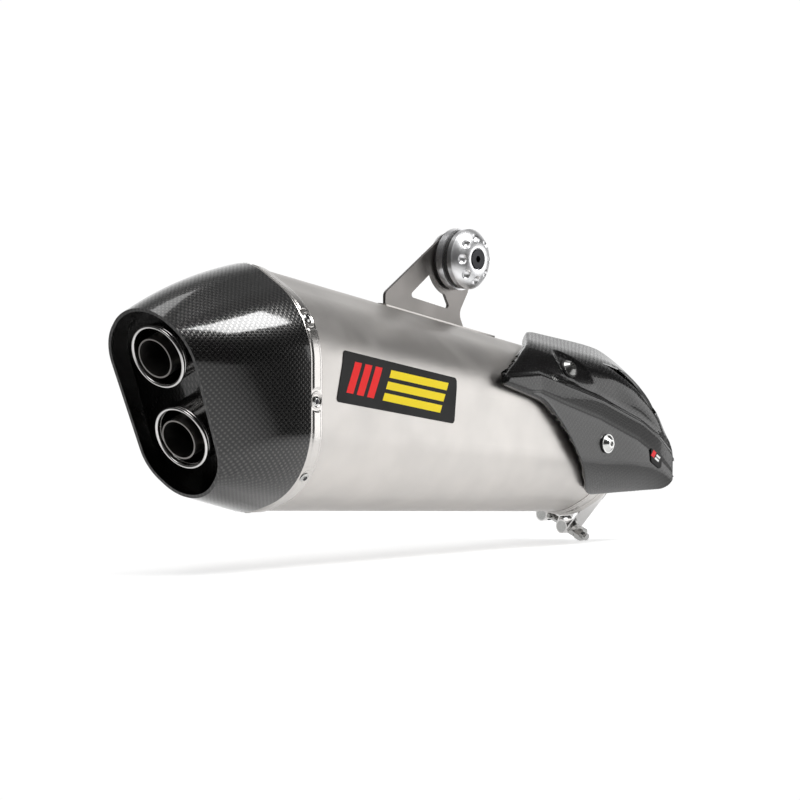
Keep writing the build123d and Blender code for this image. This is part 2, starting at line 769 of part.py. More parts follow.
# The bush's own frame: z points outward (-Y) along the bolt.
BUSH_PLANE = Plane(origin=(BUSH_X, 0, BUSH_Z), x_dir=(1, 0, 0), z_dir=(0, -1, 0))


def ring_stack(rings):
    """Rings on the bush axis, each (inner radius, outer radius, from, to), as one part."""
    with BuildPart() as stack:
        for inner, outer, low, high in rings:
            with BuildSketch(BUSH_PLANE.offset(low)):
                Circle(outer)
                Circle(inner, mode=Mode.SUBTRACT)
            extrude(amount=high - low)
    return stack


rubber_bore = BUSH_CORE_RADIUS + BUSH_BORE_PLAY
save(
    ring_stack(
        [
            (rubber_bore, EYE_BORE, RUBBER_REAR, RUBBER_FRONT),
            (rubber_bore, RUBBER_LIP_RADIUS, PLATE_FACE, RING_FACE),
            (rubber_bore, RUBBER_LIP_RADIUS, RING_FRONT, RUBBER_FRONT),
            (rubber_bore, BACK_DISC_RADIUS, RUBBER_REAR, -PLATE_FACE),
        ]
    ),
    "bush_rubber",
)
save(ring_stack([(EYE_BORE, BUSH_RING_RADIUS, RING_FACE, RING_FRONT)]), "bush_ring")
save(ring_stack([(BORE, BUSH_CORE_RADIUS, DISC_FACE, DOME_BACK)]), "bush_core")
save(ring_stack([(BORE, BACK_DISC_RADIUS, DISC_BACK, DISC_FACE)]), "back_washer")

with BuildPart() as domed_washer:
    with BuildSketch(Plane(origin=(BUSH_X, 0, BUSH_Z), x_dir=(1, 0, 0), z_dir=(0, 0, 1))):
        with BuildLine():
            rim_back = (DOME_RIM_RADIUS, -DOME_BACK)
            rim_front = (DOME_RIM_RADIUS, -DOME_BACK - DOME_RIM_WIDTH)
            nose = (DOME_NOSE_RADIUS, -DOME_FRONT)
            Line((BORE, -DOME_BACK), rim_back)
            Line(rim_back, rim_front)
            SagittaArc(rim_front, nose, DOME_BULGE)
            Polyline(
                nose,
                (DOME_POCKET_RADIUS, -DOME_FRONT),
                (DOME_POCKET_RADIUS, -POCKET_FLOOR),
                (BORE, -POCKET_FLOOR),
                (BORE, -DOME_BACK),
            )
        make_face()
    revolve(axis=Axis((BUSH_X, 0, BUSH_Z), (0, 1, 0)))
    cone_middle = (DOME_BACK + DOME_RIM_WIDTH + DOME_FRONT) / 2
    dimple_height = cone_middle + DOME_BULGE + DIMPLE_BALL - DIMPLE_SINK
    with Locations(BUSH_PLANE.offset(dimple_height)):
        with PolarLocations(DIMPLE_PITCH_RADIUS, DIMPLE_COUNT):
            Sphere(DIMPLE_BALL, mode=Mode.SUBTRACT)
save(domed_washer, "domed_washer")

with BuildPart() as hanger_bolt:
    with BuildSketch(BUSH_PLANE.offset(DISC_BACK)):
        Circle(HANGER_SHANK_RADIUS)
    extrude(amount=POCKET_FLOOR + FACE_GAP - DISC_BACK)
    with BuildSketch(BUSH_PLANE.offset(DISC_BACK)):
        Circle(HANGER_THREAD_RADIUS)
    extrude(amount=-BOLT_FREE_LENGTH)
    with BuildSketch(BUSH_PLANE.offset(POCKET_FLOOR + FACE_GAP)):
        Circle(BOLT_HEAD_RADIUS)
    extrude(amount=BOLT_HEAD_HEIGHT)
    with BuildSketch(BUSH_PLANE.offset(POCKET_FLOOR + FACE_GAP + BOLT_HEAD_HEIGHT)):
        RegularPolygon(BOLT_SOCKET_RADIUS, 6)
    extrude(amount=-BOLT_HEAD_HEIGHT / 2, mode=Mode.SUBTRACT)
save(hanger_bolt, "hanger_bolt")

# ---------------------------------------------------------------------------
# Heat shield: a carbon skin that stands off the sleeve's outer side and runs
# on past its front end as a swept nose, with a slot under its front edge
# ---------------------------------------------------------------------------
HOOD_REAR_X = -205.0
HOOD_REAR_STEPS = 4
HOOD = [
    (FRONT_X, Section(118.0, 84.0, -8.0, -42.0, 62.5, 61.0, 36.0, 40.0, 42.0, 45.0)),
    (0.0, Section(112.0, 66.0, -10.0, -44.0, 61.0, 60.0, 36.0, 40.0, 42.0, 45.0)),
    (26.0, Section(110.0, 42.0, -12.0, -44.0, 58.5, 58.5, 36.0, 34.0, 34.0, 45.0)),
    (58.0, Section(104.0, 12.0, -20.0, -44.0, 55.5, 55.5, 36.0, 14.0, 14.0, 30.0)),
]


def hood_section(x):
    """The heat shield's outside between its rear station and the sleeve's front end."""
    share = (x - HOOD_REAR_X) / (FRONT_X - HOOD_REAR_X)
    off = SHIELD_GAP + SHIELD_WALL
    rear = sleeve_section(HOOD_REAR_X)
    grown = Section(
        rear.top + off,
        rear.shoulder + off,
        rear.hip,
        rear.bottom,
        rear.half_shoulder + off,
        rear.half_hip + off,
        rear.top_radius + off,
        rear.shoulder_radius + off,
        rear.hip_radius,
        rear.bottom_radius,
    )
    return between(grown, HOOD[0][1], share)


def hood_form(grow):
    """The form that the heat shield is cut from, as a solid, grown outward by grow."""
    rear_span = FRONT_X - HOOD_REAR_X
    rear = [HOOD_REAR_X + rear_span * step / HOOD_REAR_STEPS for step in range(HOOD_REAR_STEPS)]
    with BuildPart() as solid:
        for x, section in [(x, hood_section(x)) for x in rear] + HOOD:
            with BuildSketch(station(x)):
                add(outline(section, grow))
        loft()
    return solid.part


HOOD_OUTER = hood_form(0.0)
HOOD_INNER = hood_form(-SHIELD_WALL)

SHIELD_OUTLINE = [
    ((-197.0, 81.5), 5.0),
    ((-150.0, 102.5), 80.0),
    ((-92.0, 119.0), 25.0),
    ((-24.0, 119.0), 25.0),
    ((46.0, 28.0), 45.0),
    ((54.0, -14.0), 16.0),
    ((-62.0, -15.0), 28.0),
    ((-107.0, 40.0), 40.0),
    ((-134.0, 63.0), 40.0),
]
SLOT_OUTLINE = [(-42.0, 92.0), (-6.0, 84.0), (29.0, 50.0), (16.0, 47.5), (-10.0, 72.0)]
SLOT_RADIUS = 3.0
LOWER_SCREW = (-50.9, 26.9)
UPPER_SCREW_X = -96.0


def side_prism(points, radii, near_y, far_y):
    """A prism with an outline drawn in side view (X, Z), from near_y to far_y on the -Y side."""
    with BuildPart() as prism:
        with BuildSketch(Plane.XZ.offset(-near_y)):
            with BuildLine():
                FilletPolyline(*points, radius=radii, close=True)
            make_face()
        extrude(amount=near_y - far_y)
    return prism.part


OUTER_SHOULDER = 5  # the upper corner on the -Y side
(upper_y, upper_z), upper_out = surface_spot(hood_section(UPPER_SCREW_X), OUTER_SHOULDER, 0)
lower_half = hood_section(LOWER_SCREW[0]).half_hip
SHIELD_SCREWS = {
    "upper": Plane(
        origin=(UPPER_SCREW_X, upper_y, upper_z), x_dir=(1, 0, 0), z_dir=(0, *upper_out)
    ),
    "lower": Plane(
        origin=(LOWER_SCREW[0], -lower_half, LOWER_SCREW[1]), x_dir=(1, 0, 0), z_dir=(0, -1, 0)
    ),
}

with BuildPart() as heat_shield:
    add(side_prism(*zip(*SHIELD_OUTLINE), SHIELD_INNER_Y, -2 * HOOD[0][1].half_hip))
    add(HOOD_OUTER, mode=Mode.INTERSECT)
    add(HOOD_INNER, mode=Mode.SUBTRACT)
    add(
        side_prism(SLOT_OUTLINE, SLOT_RADIUS, SHIELD_INNER_Y, -2 * HOOD[0][1].half_hip),
        mode=Mode.SUBTRACT,
    )
    for plane in SHIELD_SCREWS.values():
        with Locations(plane):
            Cylinder(SHIELD_SCREW_HOLE, 6 * SHIELD_WALL, mode=Mode.SUBTRACT)
save(heat_shield, "heat_shield")

LIP_REACH = SHIELD_WALL / 2 + GROMMET_LIP
for name, plane in SHIELD_SCREWS.items():
    middle = plane.offset(-SHIELD_WALL / 2)
    with BuildPart() as grommet:
        with Locations(middle):
            Cylinder(GROMMET_LIP_RADIUS, 2 * LIP_REACH)
        add(heat_shield.part, mode=Mode.SUBTRACT)
        with Locations(middle):
            Cylinder(SCREW_RADIUS + TOUCH, 4 * LIP_REACH, mode=Mode.SUBTRACT)
    save(grommet, f"grommet_{name}")

    seat = middle.offset(LIP_REACH)
    with BuildPart() as washer:
        with BuildSketch(seat):
            Circle(GROMMET_LIP_RADIUS)
            Circle(SCREW_RADIUS + TOUCH, mode=Mode.SUBTRACT)
        extrude(amount=SCREW_WASHER)
    save(washer, f"screw_washer_{name}")

    head_seat = seat.offset(SCREW_WASHER)
    with BuildPart() as shield_screw:
        with BuildSketch(head_seat):
            Circle(SCREW_RADIUS)
        extrude(amount=-(SCREW_WASHER + 2 * LIP_REACH + STANDOFF_DEPTH / 2))
        with Locations(head_seat.offset(SCREW_HEAD_HEIGHT / 2)):
            Cone(SCREW_HEAD_RADIUS, SCREW_HEAD_RADIUS / 2, SCREW_HEAD_HEIGHT)
        with BuildSketch(head_seat.offset(SCREW_HEAD_HEIGHT)):
            RegularPolygon(SCREW_SOCKET_RADIUS, 6)
        extrude(amount=-SCREW_SOCKET_DEPTH, mode=Mode.SUBTRACT)
    save(shield_screw, f"shield_screw_{name}")

    with BuildPart() as standoff:
        with BuildSketch(middle.offset(-LIP_REACH)):
            Circle(STANDOFF_RADIUS)
        extrude(amount=-3 * STANDOFF_DEPTH)
        with BuildSketch(middle.offset(-LIP_REACH)):
            Circle(SCREW_RADIUS + TOUCH)
        extrude(amount=-STANDOFF_DEPTH / 2 - TOUCH, mode=Mode.SUBTRACT)
        add(whole_taper(0), mode=Mode.SUBTRACT)
    save(standoff, f"shield_standoff_{name}")

# ---------------------------------------------------------------------------
# Plain foils: a name plate on the sleeve and a small badge on the shield
# ---------------------------------------------------------------------------
NAME_PLATE_OUTLINE = [
    (SEAM_X + 41.0, 108.0),
    (SEAM_X + 179.0, 84.0),
    (SEAM_X + 175.0, 49.0),
    (SEAM_X + 31.0, 70.0),
]
BADGE_OUTLINE = [(12.0, 29.0), (29.0, 20.0), (28.0, 2.0), (12.0, 10.0)]
CORNER = 3.0

with BuildPart() as name_plate:
    add(side_prism(NAME_PLATE_OUTLINE, CORNER, SHIELD_INNER_Y, -2 * REAR.half_hip))
    add(whole_taper(PLATE_FOIL), mode=Mode.INTERSECT)
    add(whole_taper(0), mode=Mode.SUBTRACT)
save(name_plate, "name_plate")

with BuildPart() as shield_badge:
    add(side_prism(BADGE_OUTLINE, CORNER, SHIELD_INNER_Y, -2 * REAR.half_hip))
    add(hood_form(PLATE_FOIL), mode=Mode.INTERSECT)
    add(HOOD_OUTER, mode=Mode.SUBTRACT)
save(shield_badge, "shield_badge")
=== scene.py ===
"""Racing silencer: finishes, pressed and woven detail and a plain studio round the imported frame."""
import json
import logging
import math
from dataclasses import dataclass
from enum import Enum
from typing import Callable, Iterable, Sequence

import bmesh
import bpy
import numpy as np
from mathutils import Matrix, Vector
from mathutils.bvhtree import BVHTree


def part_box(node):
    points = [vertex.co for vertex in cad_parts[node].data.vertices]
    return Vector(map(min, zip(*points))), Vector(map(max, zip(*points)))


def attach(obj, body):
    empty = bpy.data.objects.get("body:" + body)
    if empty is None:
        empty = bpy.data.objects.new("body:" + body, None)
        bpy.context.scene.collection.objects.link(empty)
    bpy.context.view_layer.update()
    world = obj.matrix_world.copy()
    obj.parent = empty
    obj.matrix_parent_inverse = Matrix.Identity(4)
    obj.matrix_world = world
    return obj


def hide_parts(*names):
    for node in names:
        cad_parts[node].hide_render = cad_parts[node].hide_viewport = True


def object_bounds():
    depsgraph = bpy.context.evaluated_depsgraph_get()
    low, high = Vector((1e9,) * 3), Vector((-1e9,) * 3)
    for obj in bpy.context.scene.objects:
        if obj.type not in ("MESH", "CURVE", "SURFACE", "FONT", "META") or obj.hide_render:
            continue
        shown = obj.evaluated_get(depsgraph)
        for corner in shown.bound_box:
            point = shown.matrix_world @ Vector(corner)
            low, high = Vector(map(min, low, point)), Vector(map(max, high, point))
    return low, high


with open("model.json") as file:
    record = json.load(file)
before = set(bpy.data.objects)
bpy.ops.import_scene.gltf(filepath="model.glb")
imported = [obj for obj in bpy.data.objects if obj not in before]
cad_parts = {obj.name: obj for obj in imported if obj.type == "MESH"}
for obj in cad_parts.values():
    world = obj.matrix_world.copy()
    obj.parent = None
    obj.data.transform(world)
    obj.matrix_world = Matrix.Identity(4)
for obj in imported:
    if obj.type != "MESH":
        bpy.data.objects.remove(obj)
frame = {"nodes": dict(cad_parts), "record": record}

LOG = logging.getLogger("silencer")
MM = 0.001
CAD_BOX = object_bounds()


# ---------------------------------------------------------------------------
# Shader building blocks
# ---------------------------------------------------------------------------
class Graph:
    """A thin hand on one node tree: adds nodes, sets their sockets and joins them."""

    def __init__(self, tree: bpy.types.NodeTree) -> None:
        """Take hold of a tree.

        Args:
            tree: the shader or geometry tree that new nodes go into.
        """
        self.tree = tree

    def node(self, kind: str, sockets: dict | None = None, **settings: object) -> bpy.types.Node:
        """Add a node.

        Args:
            kind: the node's type name.
            sockets: values or output sockets for its inputs, by name or index.
            **settings: properties of the node itself.

        Returns:
            The new node.
        """
        made = self.tree.nodes.new(kind)
        for name, value in settings.items():
            setattr(made, name, value)
        for name, value in (sockets or {}).items():
            socket = made.inputs[name]
            if isinstance(value, bpy.types.NodeSocket):
                self.tree.links.new(value, socket)
            else:
                socket.default_value = value
        return made

    def math(self, operation: str, *values: object) -> bpy.types.NodeSocket:
        """Add a math node and return its result.

        Args:
            operation: the math operation's name.
            *values: numbers or sockets, in order.

        Returns:
            The result socket.
        """
        inputs = dict(enumerate(values))
        return self.node("ShaderNodeMath", inputs, operation=operation).outputs[0]

    def mix(self, share: object, first: object, second: object) -> bpy.types.NodeSocket:
        """Mix two colours.

        Args:
            share: how much of the second, as a number or socket.
            first: colour or socket at share 0.
            second: colour or socket at share 1.

        Returns:
            The mixed colour socket.
        """
        made = self.node("ShaderNodeMix", {0: share, 6: first, 7: second}, data_type="RGBA")
        return made.outputs[2]

    def ramp(self, value: object, low: float, high: float,
             start: float, end: float) -> bpy.types.NodeSocket:
        """Map a value from one range to another, held at both ends.

        Args:
            value: the socket to map.
            low: input that gives start.
            high: input that gives end.
            start: output at low.
            end: output at high.

        Returns:
            The mapped value socket.
        """
        inputs = {0: value, 1: low, 2: high, 3: start, 4: end}
        return self.node("ShaderNodeMapRange", inputs).outputs[0]


def placed(name: str, data: bpy.types.ID) -> bpy.types.Object:
    """Make an object and put it in the scene.

    Args:
        name: the object's name.
        data: its mesh, lamp or camera data.

    Returns:
        The object.
    """
    made = bpy.data.objects.new(name, data)
    bpy.context.scene.collection.objects.link(made)
    return made


Fill = Callable[[Graph, bpy.types.Node, bpy.types.Node], None]


def shader_group(name: str, takes: dict[str, object], gives: Sequence[str],
                 fill: Fill) -> bpy.types.NodeTree:
    """Build a shader node group once.

    Args:
        name: the group's name.
        takes: input names with their default value; a tuple makes a vector input.
        gives: names of the value outputs.
        fill: writes the nodes between the group's input and output nodes.

    Returns:
        The group's node tree.
    """
    known = bpy.data.node_groups.get(name)
    if known:
        return known
    tree = bpy.data.node_groups.new(name, "ShaderNodeTree")
    for label, value in takes.items():
        kind = "NodeSocketVector" if isinstance(value, tuple) else "NodeSocketFloat"
        made = tree.interface.new_socket(label, in_out="INPUT", socket_type=kind)
        made.default_value = value
    for label in gives:
        tree.interface.new_socket(label, in_out="OUTPUT", socket_type="NodeSocketFloat")
    graph = Graph(tree)
    fill(graph, graph.node("NodeGroupInput"), graph.node("NodeGroupOutput"))
    return tree


def grain_group() -> bpy.types.NodeTree:
    """Blasted or cast grain: fine speckle for height and slow clouds for colour and gloss.

    Returns:
        The shared group.
    """

    def fill(graph: Graph, start: bpy.types.Node, end: bpy.types.Node) -> None:
        """Write the group's nodes.

        Args:
            graph: the group's tree.
            start: its input node.
            end: its output node.
        """
        fine = graph.node("ShaderNodeTexNoise", {
            "Vector": start.outputs["Vector"], "Scale": start.outputs["Fine"], "Detail": 3.0})
        slow = graph.node("ShaderNodeTexNoise", {
            "Vector": start.outputs["Vector"], "Scale": start.outputs["Slow"], "Detail": 2.0})
        graph.tree.links.new(fine.outputs[0], end.inputs["Height"])
        graph.tree.links.new(graph.ramp(slow.outputs[0], 0.3, 0.7, 0.0, 1.0), end.inputs["Cloud"])

    return shader_group("grain", {"Vector": (0.0, 0.0, 0.0), "Fine": 2500.0, "Slow": 30.0},
                        ("Height", "Cloud"), fill)


def weave_group() -> bpy.types.NodeTree:
    """Plain-woven tows: how each bulges, and a dot where the bright one lies on top.

    Returns:
        The shared group.
    """

    def fill(graph: Graph, start: bpy.types.Node, end: bpy.types.Node) -> None:
        """Write the group's nodes.

        Args:
            graph: the group's tree.
            start: its input node.
            end: its output node.
        """
        axes = graph.node("ShaderNodeSeparateXYZ", {0: start.outputs["Vector"]})
        across = graph.math("DIVIDE", axes.outputs[0], start.outputs["Tow"])
        along = graph.math("DIVIDE", axes.outputs[1], start.outputs["Tow"])
        steps = graph.math("ADD", graph.math("FLOOR", across), graph.math("FLOOR", along))
        over = graph.math("FLOORED_MODULO", steps, 2.0)
        bulges = []
        for place in (across, along):
            part = graph.math("FRACT", place)
            bulges.append(graph.math("SINE", graph.math("MULTIPLY", part, math.pi)))
        warp, weft = bulges
        height = graph.math("ADD", graph.math("MULTIPLY", over, warp),
                            graph.math("MULTIPLY", graph.math("SUBTRACT", 1.0, over), weft))
        rounded_off = [graph.math("POWER", bulge, 0.6) for bulge in bulges]
        dot = graph.math("MULTIPLY", over, graph.math("MULTIPLY", *rounded_off))
        graph.tree.links.new(height, end.inputs["Height"])
        graph.tree.links.new(dot, end.inputs["Dot"])

    return shader_group("weave", {"Vector": (0.0, 0.0, 0.0), "Tow": 0.002},
                        ("Height", "Dot"), fill)


def smudge_group() -> bpy.types.NodeTree:
    """Handling marks and faint dust: a soft mask that dulls the gloss a little.

    Returns:
        The shared group.
    """

    def fill(graph: Graph, start: bpy.types.Node, end: bpy.types.Node) -> None:
        """Write the group's nodes.

        Args:
            graph: the group's tree.
            start: its input node.
            end: its output node.
        """
        patch = graph.node("ShaderNodeTexNoise", {
            "Vector": start.outputs["Vector"], "Scale": start.outputs["Scale"],
            "Detail": 4.0, "Roughness": 0.6, "Distortion": 0.4})
        mask = graph.ramp(patch.outputs[0], 0.45, 0.75, 0.0, 1.0)
        graph.tree.links.new(mask, end.inputs["Mask"])

    return shader_group("smudge", {"Vector": (0.0, 0.0, 0.0), "Scale": 18.0}, ("Mask",), fill)


Colour = tuple[float, float, float]


def rgba(colour: Colour) -> tuple[float, float, float, float]:
    """Add full alpha to a colour."""
    return (*colour, 1.0)


class Paint:
    """One material under way: its Principled shader, its coordinates and its groups."""

    def __init__(self, name: str, **constants: object) -> None:
        """Start a material.

        Args:
            name: the material's name.
            **constants: Principled sockets set directly, with spaces written as underscores.
        """
        self.material = bpy.data.materials.new(name)
        self.material.use_nodes = True
        self.graph = Graph(self.material.node_tree)
        self.shader = self.material.node_tree.nodes["Principled BSDF"]
        for label, value in constants.items():
            self.shader.inputs[label.replace("_", " ")].default_value = value
        coordinates = self.graph.node("ShaderNodeTexCoord")
        self.place = coordinates.outputs["Object"]
        self.uv = coordinates.outputs["UV"]

    def group(self, tree: bpy.types.NodeTree, sockets: dict) -> bpy.types.Node:
        """Place a shared group.

        Args:
            tree: the shader group.
            sockets: values or sockets for its inputs.

        Returns:
            The group's node.
        """
        made = self.graph.node("ShaderNodeGroup", node_tree=tree)
        for label, value in sockets.items():
            if isinstance(value, bpy.types.NodeSocket):
                self.graph.tree.links.new(value, made.inputs[label])
            else:
                made.inputs[label].default_value = value
        return made

    def feed(self, label: str, value: bpy.types.NodeSocket) -> None:
        """Join a socket to one of the shader's inputs."""
        self.graph.tree.links.new(value, self.shader.inputs[label])

    def bump(self, height: bpy.types.NodeSocket, distance: float, strength: float = 1.0,
             under: bpy.types.NodeSocket | None = None) -> bpy.types.NodeSocket:
        """Raise the surface by a height.

        Args:
            height: the height, from 0 to 1.
            distance: how high 1 is, in metres.
            strength: how much of the effect is kept.
            under: a normal that this one is added to.

        Returns:
            The normal socket.
        """
        sockets = {"Height": height, "Distance": distance, "Strength": strength}
        if under is not None:
            sockets["Normal"] = under
        return self.graph.node("ShaderNodeBump", sockets).outputs[0]

    def clouded(self, fine: float, slow: float, dark: Colour,
                light: Colour) -> bpy.types.NodeSocket:
        """Colour the surface between two tones, and give its grain.

        Args:
            fine: the grain's scale.
            slow: the scale of the clouds that mix the two tones.
            dark: the first tone.
            light: the second tone.

        Returns:
            The grain's height socket.
        """
        grain = self.group(grain_group(), {"Vector": self.place, "Fine": fine, "Slow": slow})
        self.feed("Base Color", self.graph.mix(grain.outputs["Cloud"], rgba(dark), rgba(light)))
        return grain.outputs["Height"]

    def handled(self, scale: float, roughness: float, spread: float) -> None:
        """Dull the gloss where the surface has been handled.

        Args:
            scale: the scale of the marks.
            roughness: the roughness of the clean surface.
            spread: how much rougher the marks are.
        """
        smudge = self.group(smudge_group(), {"Vector": self.place, "Scale": scale})
        gloss = self.graph.ramp(smudge.outputs["Mask"], 0.0, 1.0, roughness, roughness + spread)
        self.feed("Roughness", gloss)


# ---------------------------------------------------------------------------
# Finishes
# ---------------------------------------------------------------------------
@dataclass(frozen=True)
class MetalFinish:
    """A bare metal with grain, clouding and light handling marks."""

    name: str
    light: Colour
    dark: Colour
    roughness: float
    spread: float = 0.08
    grain: float = 2500.0
    grain_height: float = 0.02 * MM
    cloud: float = 26.0

    def build(self) -> bpy.types.Material:
        """Make the material.

        Returns:
            The finished material.
        """
        paint = Paint(self.name, Metallic=1.0)
        height = paint.clouded(self.grain, self.cloud, self.dark, self.light)
        paint.handled(14.0, self.roughness, self.spread)
        paint.feed("Normal", paint.bump(height, self.grain_height))
        return paint.material


@dataclass(frozen=True)
class TurnedFinish:
    """Turned metal: fine rings round an axis along Y, over a soft grain."""

    name: str
    light: Colour
    dark: Colour
    roughness: float
    centre: tuple[float, float, float]
    pitch: float = 0.7 * MM
    spread: float = 0.06
    grain_height: float = 0.01 * MM
    ring_height: float = 0.008 * MM

    def build(self) -> bpy.types.Material:
        """Make the material.

        Returns:
            The finished material.
        """
        paint = Paint(self.name, Metallic=1.0)
        graph = paint.graph
        moved = graph.node("ShaderNodeVectorMath", {0: paint.place, 1: self.centre},
                           operation="SUBTRACT").outputs[0]
        axes = graph.node("ShaderNodeSeparateXYZ", {0: moved})
        squares = [graph.math("POWER", axes.outputs[i], 2.0) for i in (0, 2)]
        radius = graph.math("SQRT", graph.math("ADD", *squares))
        ring = graph.math("SINE", graph.math("MULTIPLY", radius, 2 * math.pi / self.pitch))
        ring = graph.ramp(ring, -1.0, 1.0, 0.0, 1.0)
        height = paint.clouded(3000.0, 60.0, self.dark, self.light)
        rough = self.roughness + self.spread
        paint.feed("Roughness", graph.ramp(ring, 0.0, 1.0, self.roughness, rough))
        normal = paint.bump(height, self.grain_height)
        paint.feed("Normal", paint.bump(ring, self.ring_height, 1.0, normal))
        return paint.material


class WeaveMap(Enum):
    """How a woven skin lies on its piece."""

    FACETS = "box of object coordinates, cut at the creases"
    SURFACE = "the piece's own UV map, in metres"


@dataclass(frozen=True)
class CarbonFinish:
    """Clear-coated carbon laminate with a plain weave."""

    name: str
    mapping: WeaveMap
    tow: float = 2.1 * MM
    tow_height: float = 0.12 * MM
    dark: Colour = (0.003, 0.003, 0.0032)
    bright: Colour = (0.08, 0.078, 0.075)
    roughness: float = 0.24
    coat: float = 1.0
    coat_roughness: float = 0.09
    wide: float = 1.15

    def surface(self, paint: Paint) -> bpy.types.NodeSocket:
        """Choose the plane that the weave is drawn on.

        Args:
            paint: the material under way.

        Returns:
            A vector socket with the two weave coordinates in metres.
        """
        if self.mapping is WeaveMap.SURFACE:
            return paint.uv
        graph = paint.graph
        axes = graph.node("ShaderNodeSeparateXYZ", {0: paint.place})
        facing = graph.node("ShaderNodeSeparateXYZ", {
            0: graph.node("ShaderNodeNewGeometry").outputs["True Normal"]})
        x, y, z = axes.outputs
        upright = graph.math("ABSOLUTE", facing.outputs[1])
        rising = graph.math("ABSOLUTE", facing.outputs[2])
        lean = graph.math("GREATER_THAN", upright, rising)
        side = graph.node("ShaderNodeCombineXYZ", {0: x, 1: z}).outputs[0]
        wide = graph.math("MULTIPLY", y, self.wide)
        above = graph.node("ShaderNodeCombineXYZ", {0: x, 1: wide}).outputs[0]
        mixed = graph.node("ShaderNodeMix", {0: lean, 4: above, 5: side}, data_type="VECTOR")
        return mixed.outputs[1]

    def build(self) -> bpy.types.Material:
        """Make the material.

        Returns:
            The finished material.
        """
        paint = Paint(self.name, Coat_Weight=self.coat, Coat_Roughness=self.coat_roughness,
                      Coat_IOR=1.5, Specular_IOR_Level=0.3)
        graph = paint.graph
        weave = paint.group(weave_group(), {"Vector": self.surface(paint), "Tow": self.tow})
        colour = graph.mix(weave.outputs["Dot"], rgba(self.dark), rgba(self.bright))
        paint.feed("Base Color", colour)
        paint.feed("Metallic", graph.ramp(weave.outputs["Dot"], 0.0, 1.0, 0.3, 1.0))
        paint.handled(22.0, self.roughness, 0.06)
        paint.feed("Normal", paint.bump(weave.outputs["Height"], self.tow_height, 0.5))
        return paint.material


@dataclass(frozen=True)
class DullFinish:
    """Rubber, wool or oxide: no metal gloss, a soft grain and a little colour change."""

    name: str
    light: Colour
    dark: Colour
    roughness: float
    grain: float = 900.0
    grain_height: float = 0.05 * MM
    metallic: float = 0.0

    def build(self) -> bpy.types.Material:
        """Make the material.

        Returns:
            The finished material.
        """
        paint = Paint(self.name, Metallic=self.metallic)
        height = paint.clouded(self.grain, 70.0, self.dark, self.light)
        paint.handled(40.0, self.roughness, 0.1)
        paint.feed("Normal", paint.bump(height, self.grain_height))
        return paint.material


@dataclass(frozen=True)
class PrintFinish:
    """A glossy black foil with plain slanted bars and lines, no lettering.

    The pattern is laid out from the foil's middle, along and across it, in metres.
    """

    name: str
    middle: tuple[float, float]
    tilt: float
    bars: tuple[float, float]
    lines: tuple[float, float]
    half_height: float
    bar_pitch: float
    line_pitch: float
    bar_colour: Colour
    line_colour: Colour
    ground: Colour = (0.004, 0.004, 0.004)
    lean: float = 0.3
    ink_share: float = 0.66

    def build(self) -> bpy.types.Material:
        """Make the material.

        Returns:
            The finished material.
        """
        paint = Paint(self.name, Specular_IOR_Level=0.12, Coat_Weight=0.12, Coat_Roughness=0.1)
        graph = paint.graph
        axes = graph.node("ShaderNodeSeparateXYZ", {0: paint.place})
        x = graph.math("SUBTRACT", axes.outputs[0], self.middle[0])
        z = graph.math("SUBTRACT", axes.outputs[2], self.middle[1])
        turn = math.radians(self.tilt)
        along = graph.math("ADD", graph.math("MULTIPLY", x, math.cos(turn)),
                           graph.math("MULTIPLY", z, math.sin(turn)))
        across = graph.math("SUBTRACT", graph.math("MULTIPLY", z, math.cos(turn)),
                            graph.math("MULTIPLY", x, math.sin(turn)))
        lean = graph.math("SUBTRACT", along, graph.math("MULTIPLY", across, self.lean))
        inside = graph.math("LESS_THAN", graph.math("ABSOLUTE", across), self.half_height)

        def band(value: bpy.types.NodeSocket, low: float, high: float) -> bpy.types.NodeSocket:
            """A mask that is 1 between two places."""
            return graph.math("MULTIPLY", graph.math("GREATER_THAN", value, low),
                              graph.math("LESS_THAN", value, high))

        def stripes(value: bpy.types.NodeSocket, start: float,
                    pitch: float) -> bpy.types.NodeSocket:
            """A mask of even stripes, with ink over the first share of each."""
            place = graph.math("DIVIDE", graph.math("SUBTRACT", value, start), pitch)
            return graph.math("LESS_THAN", graph.math("FRACT", place), self.ink_share)

        bars = stripes(lean, self.bars[0], self.bar_pitch)
        lines = stripes(across, -self.half_height, self.line_pitch)
        bar, line = (graph.math("MULTIPLY", graph.math("MULTIPLY", band(lean, *span), mask), inside)
                     for span, mask in ((self.bars, bars), (self.lines, lines)))
        ink = graph.mix(bar, rgba(self.ground), rgba(self.bar_colour))
        paint.feed("Base Color", graph.mix(line, ink, rgba(self.line_colour)))
        paint.handled(40.0, 0.45, 0.1)
        return paint.material


def middle_of(node: str) -> Vector:
    """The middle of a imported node's box."""
    low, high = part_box(node)
    return (low + high) / 2


BUSH_AXIS = tuple(middle_of("bush_ring"))
PLATE_MIDDLE = middle_of("name_plate")
BADGE_MIDDLE = middle_of("shield_badge")

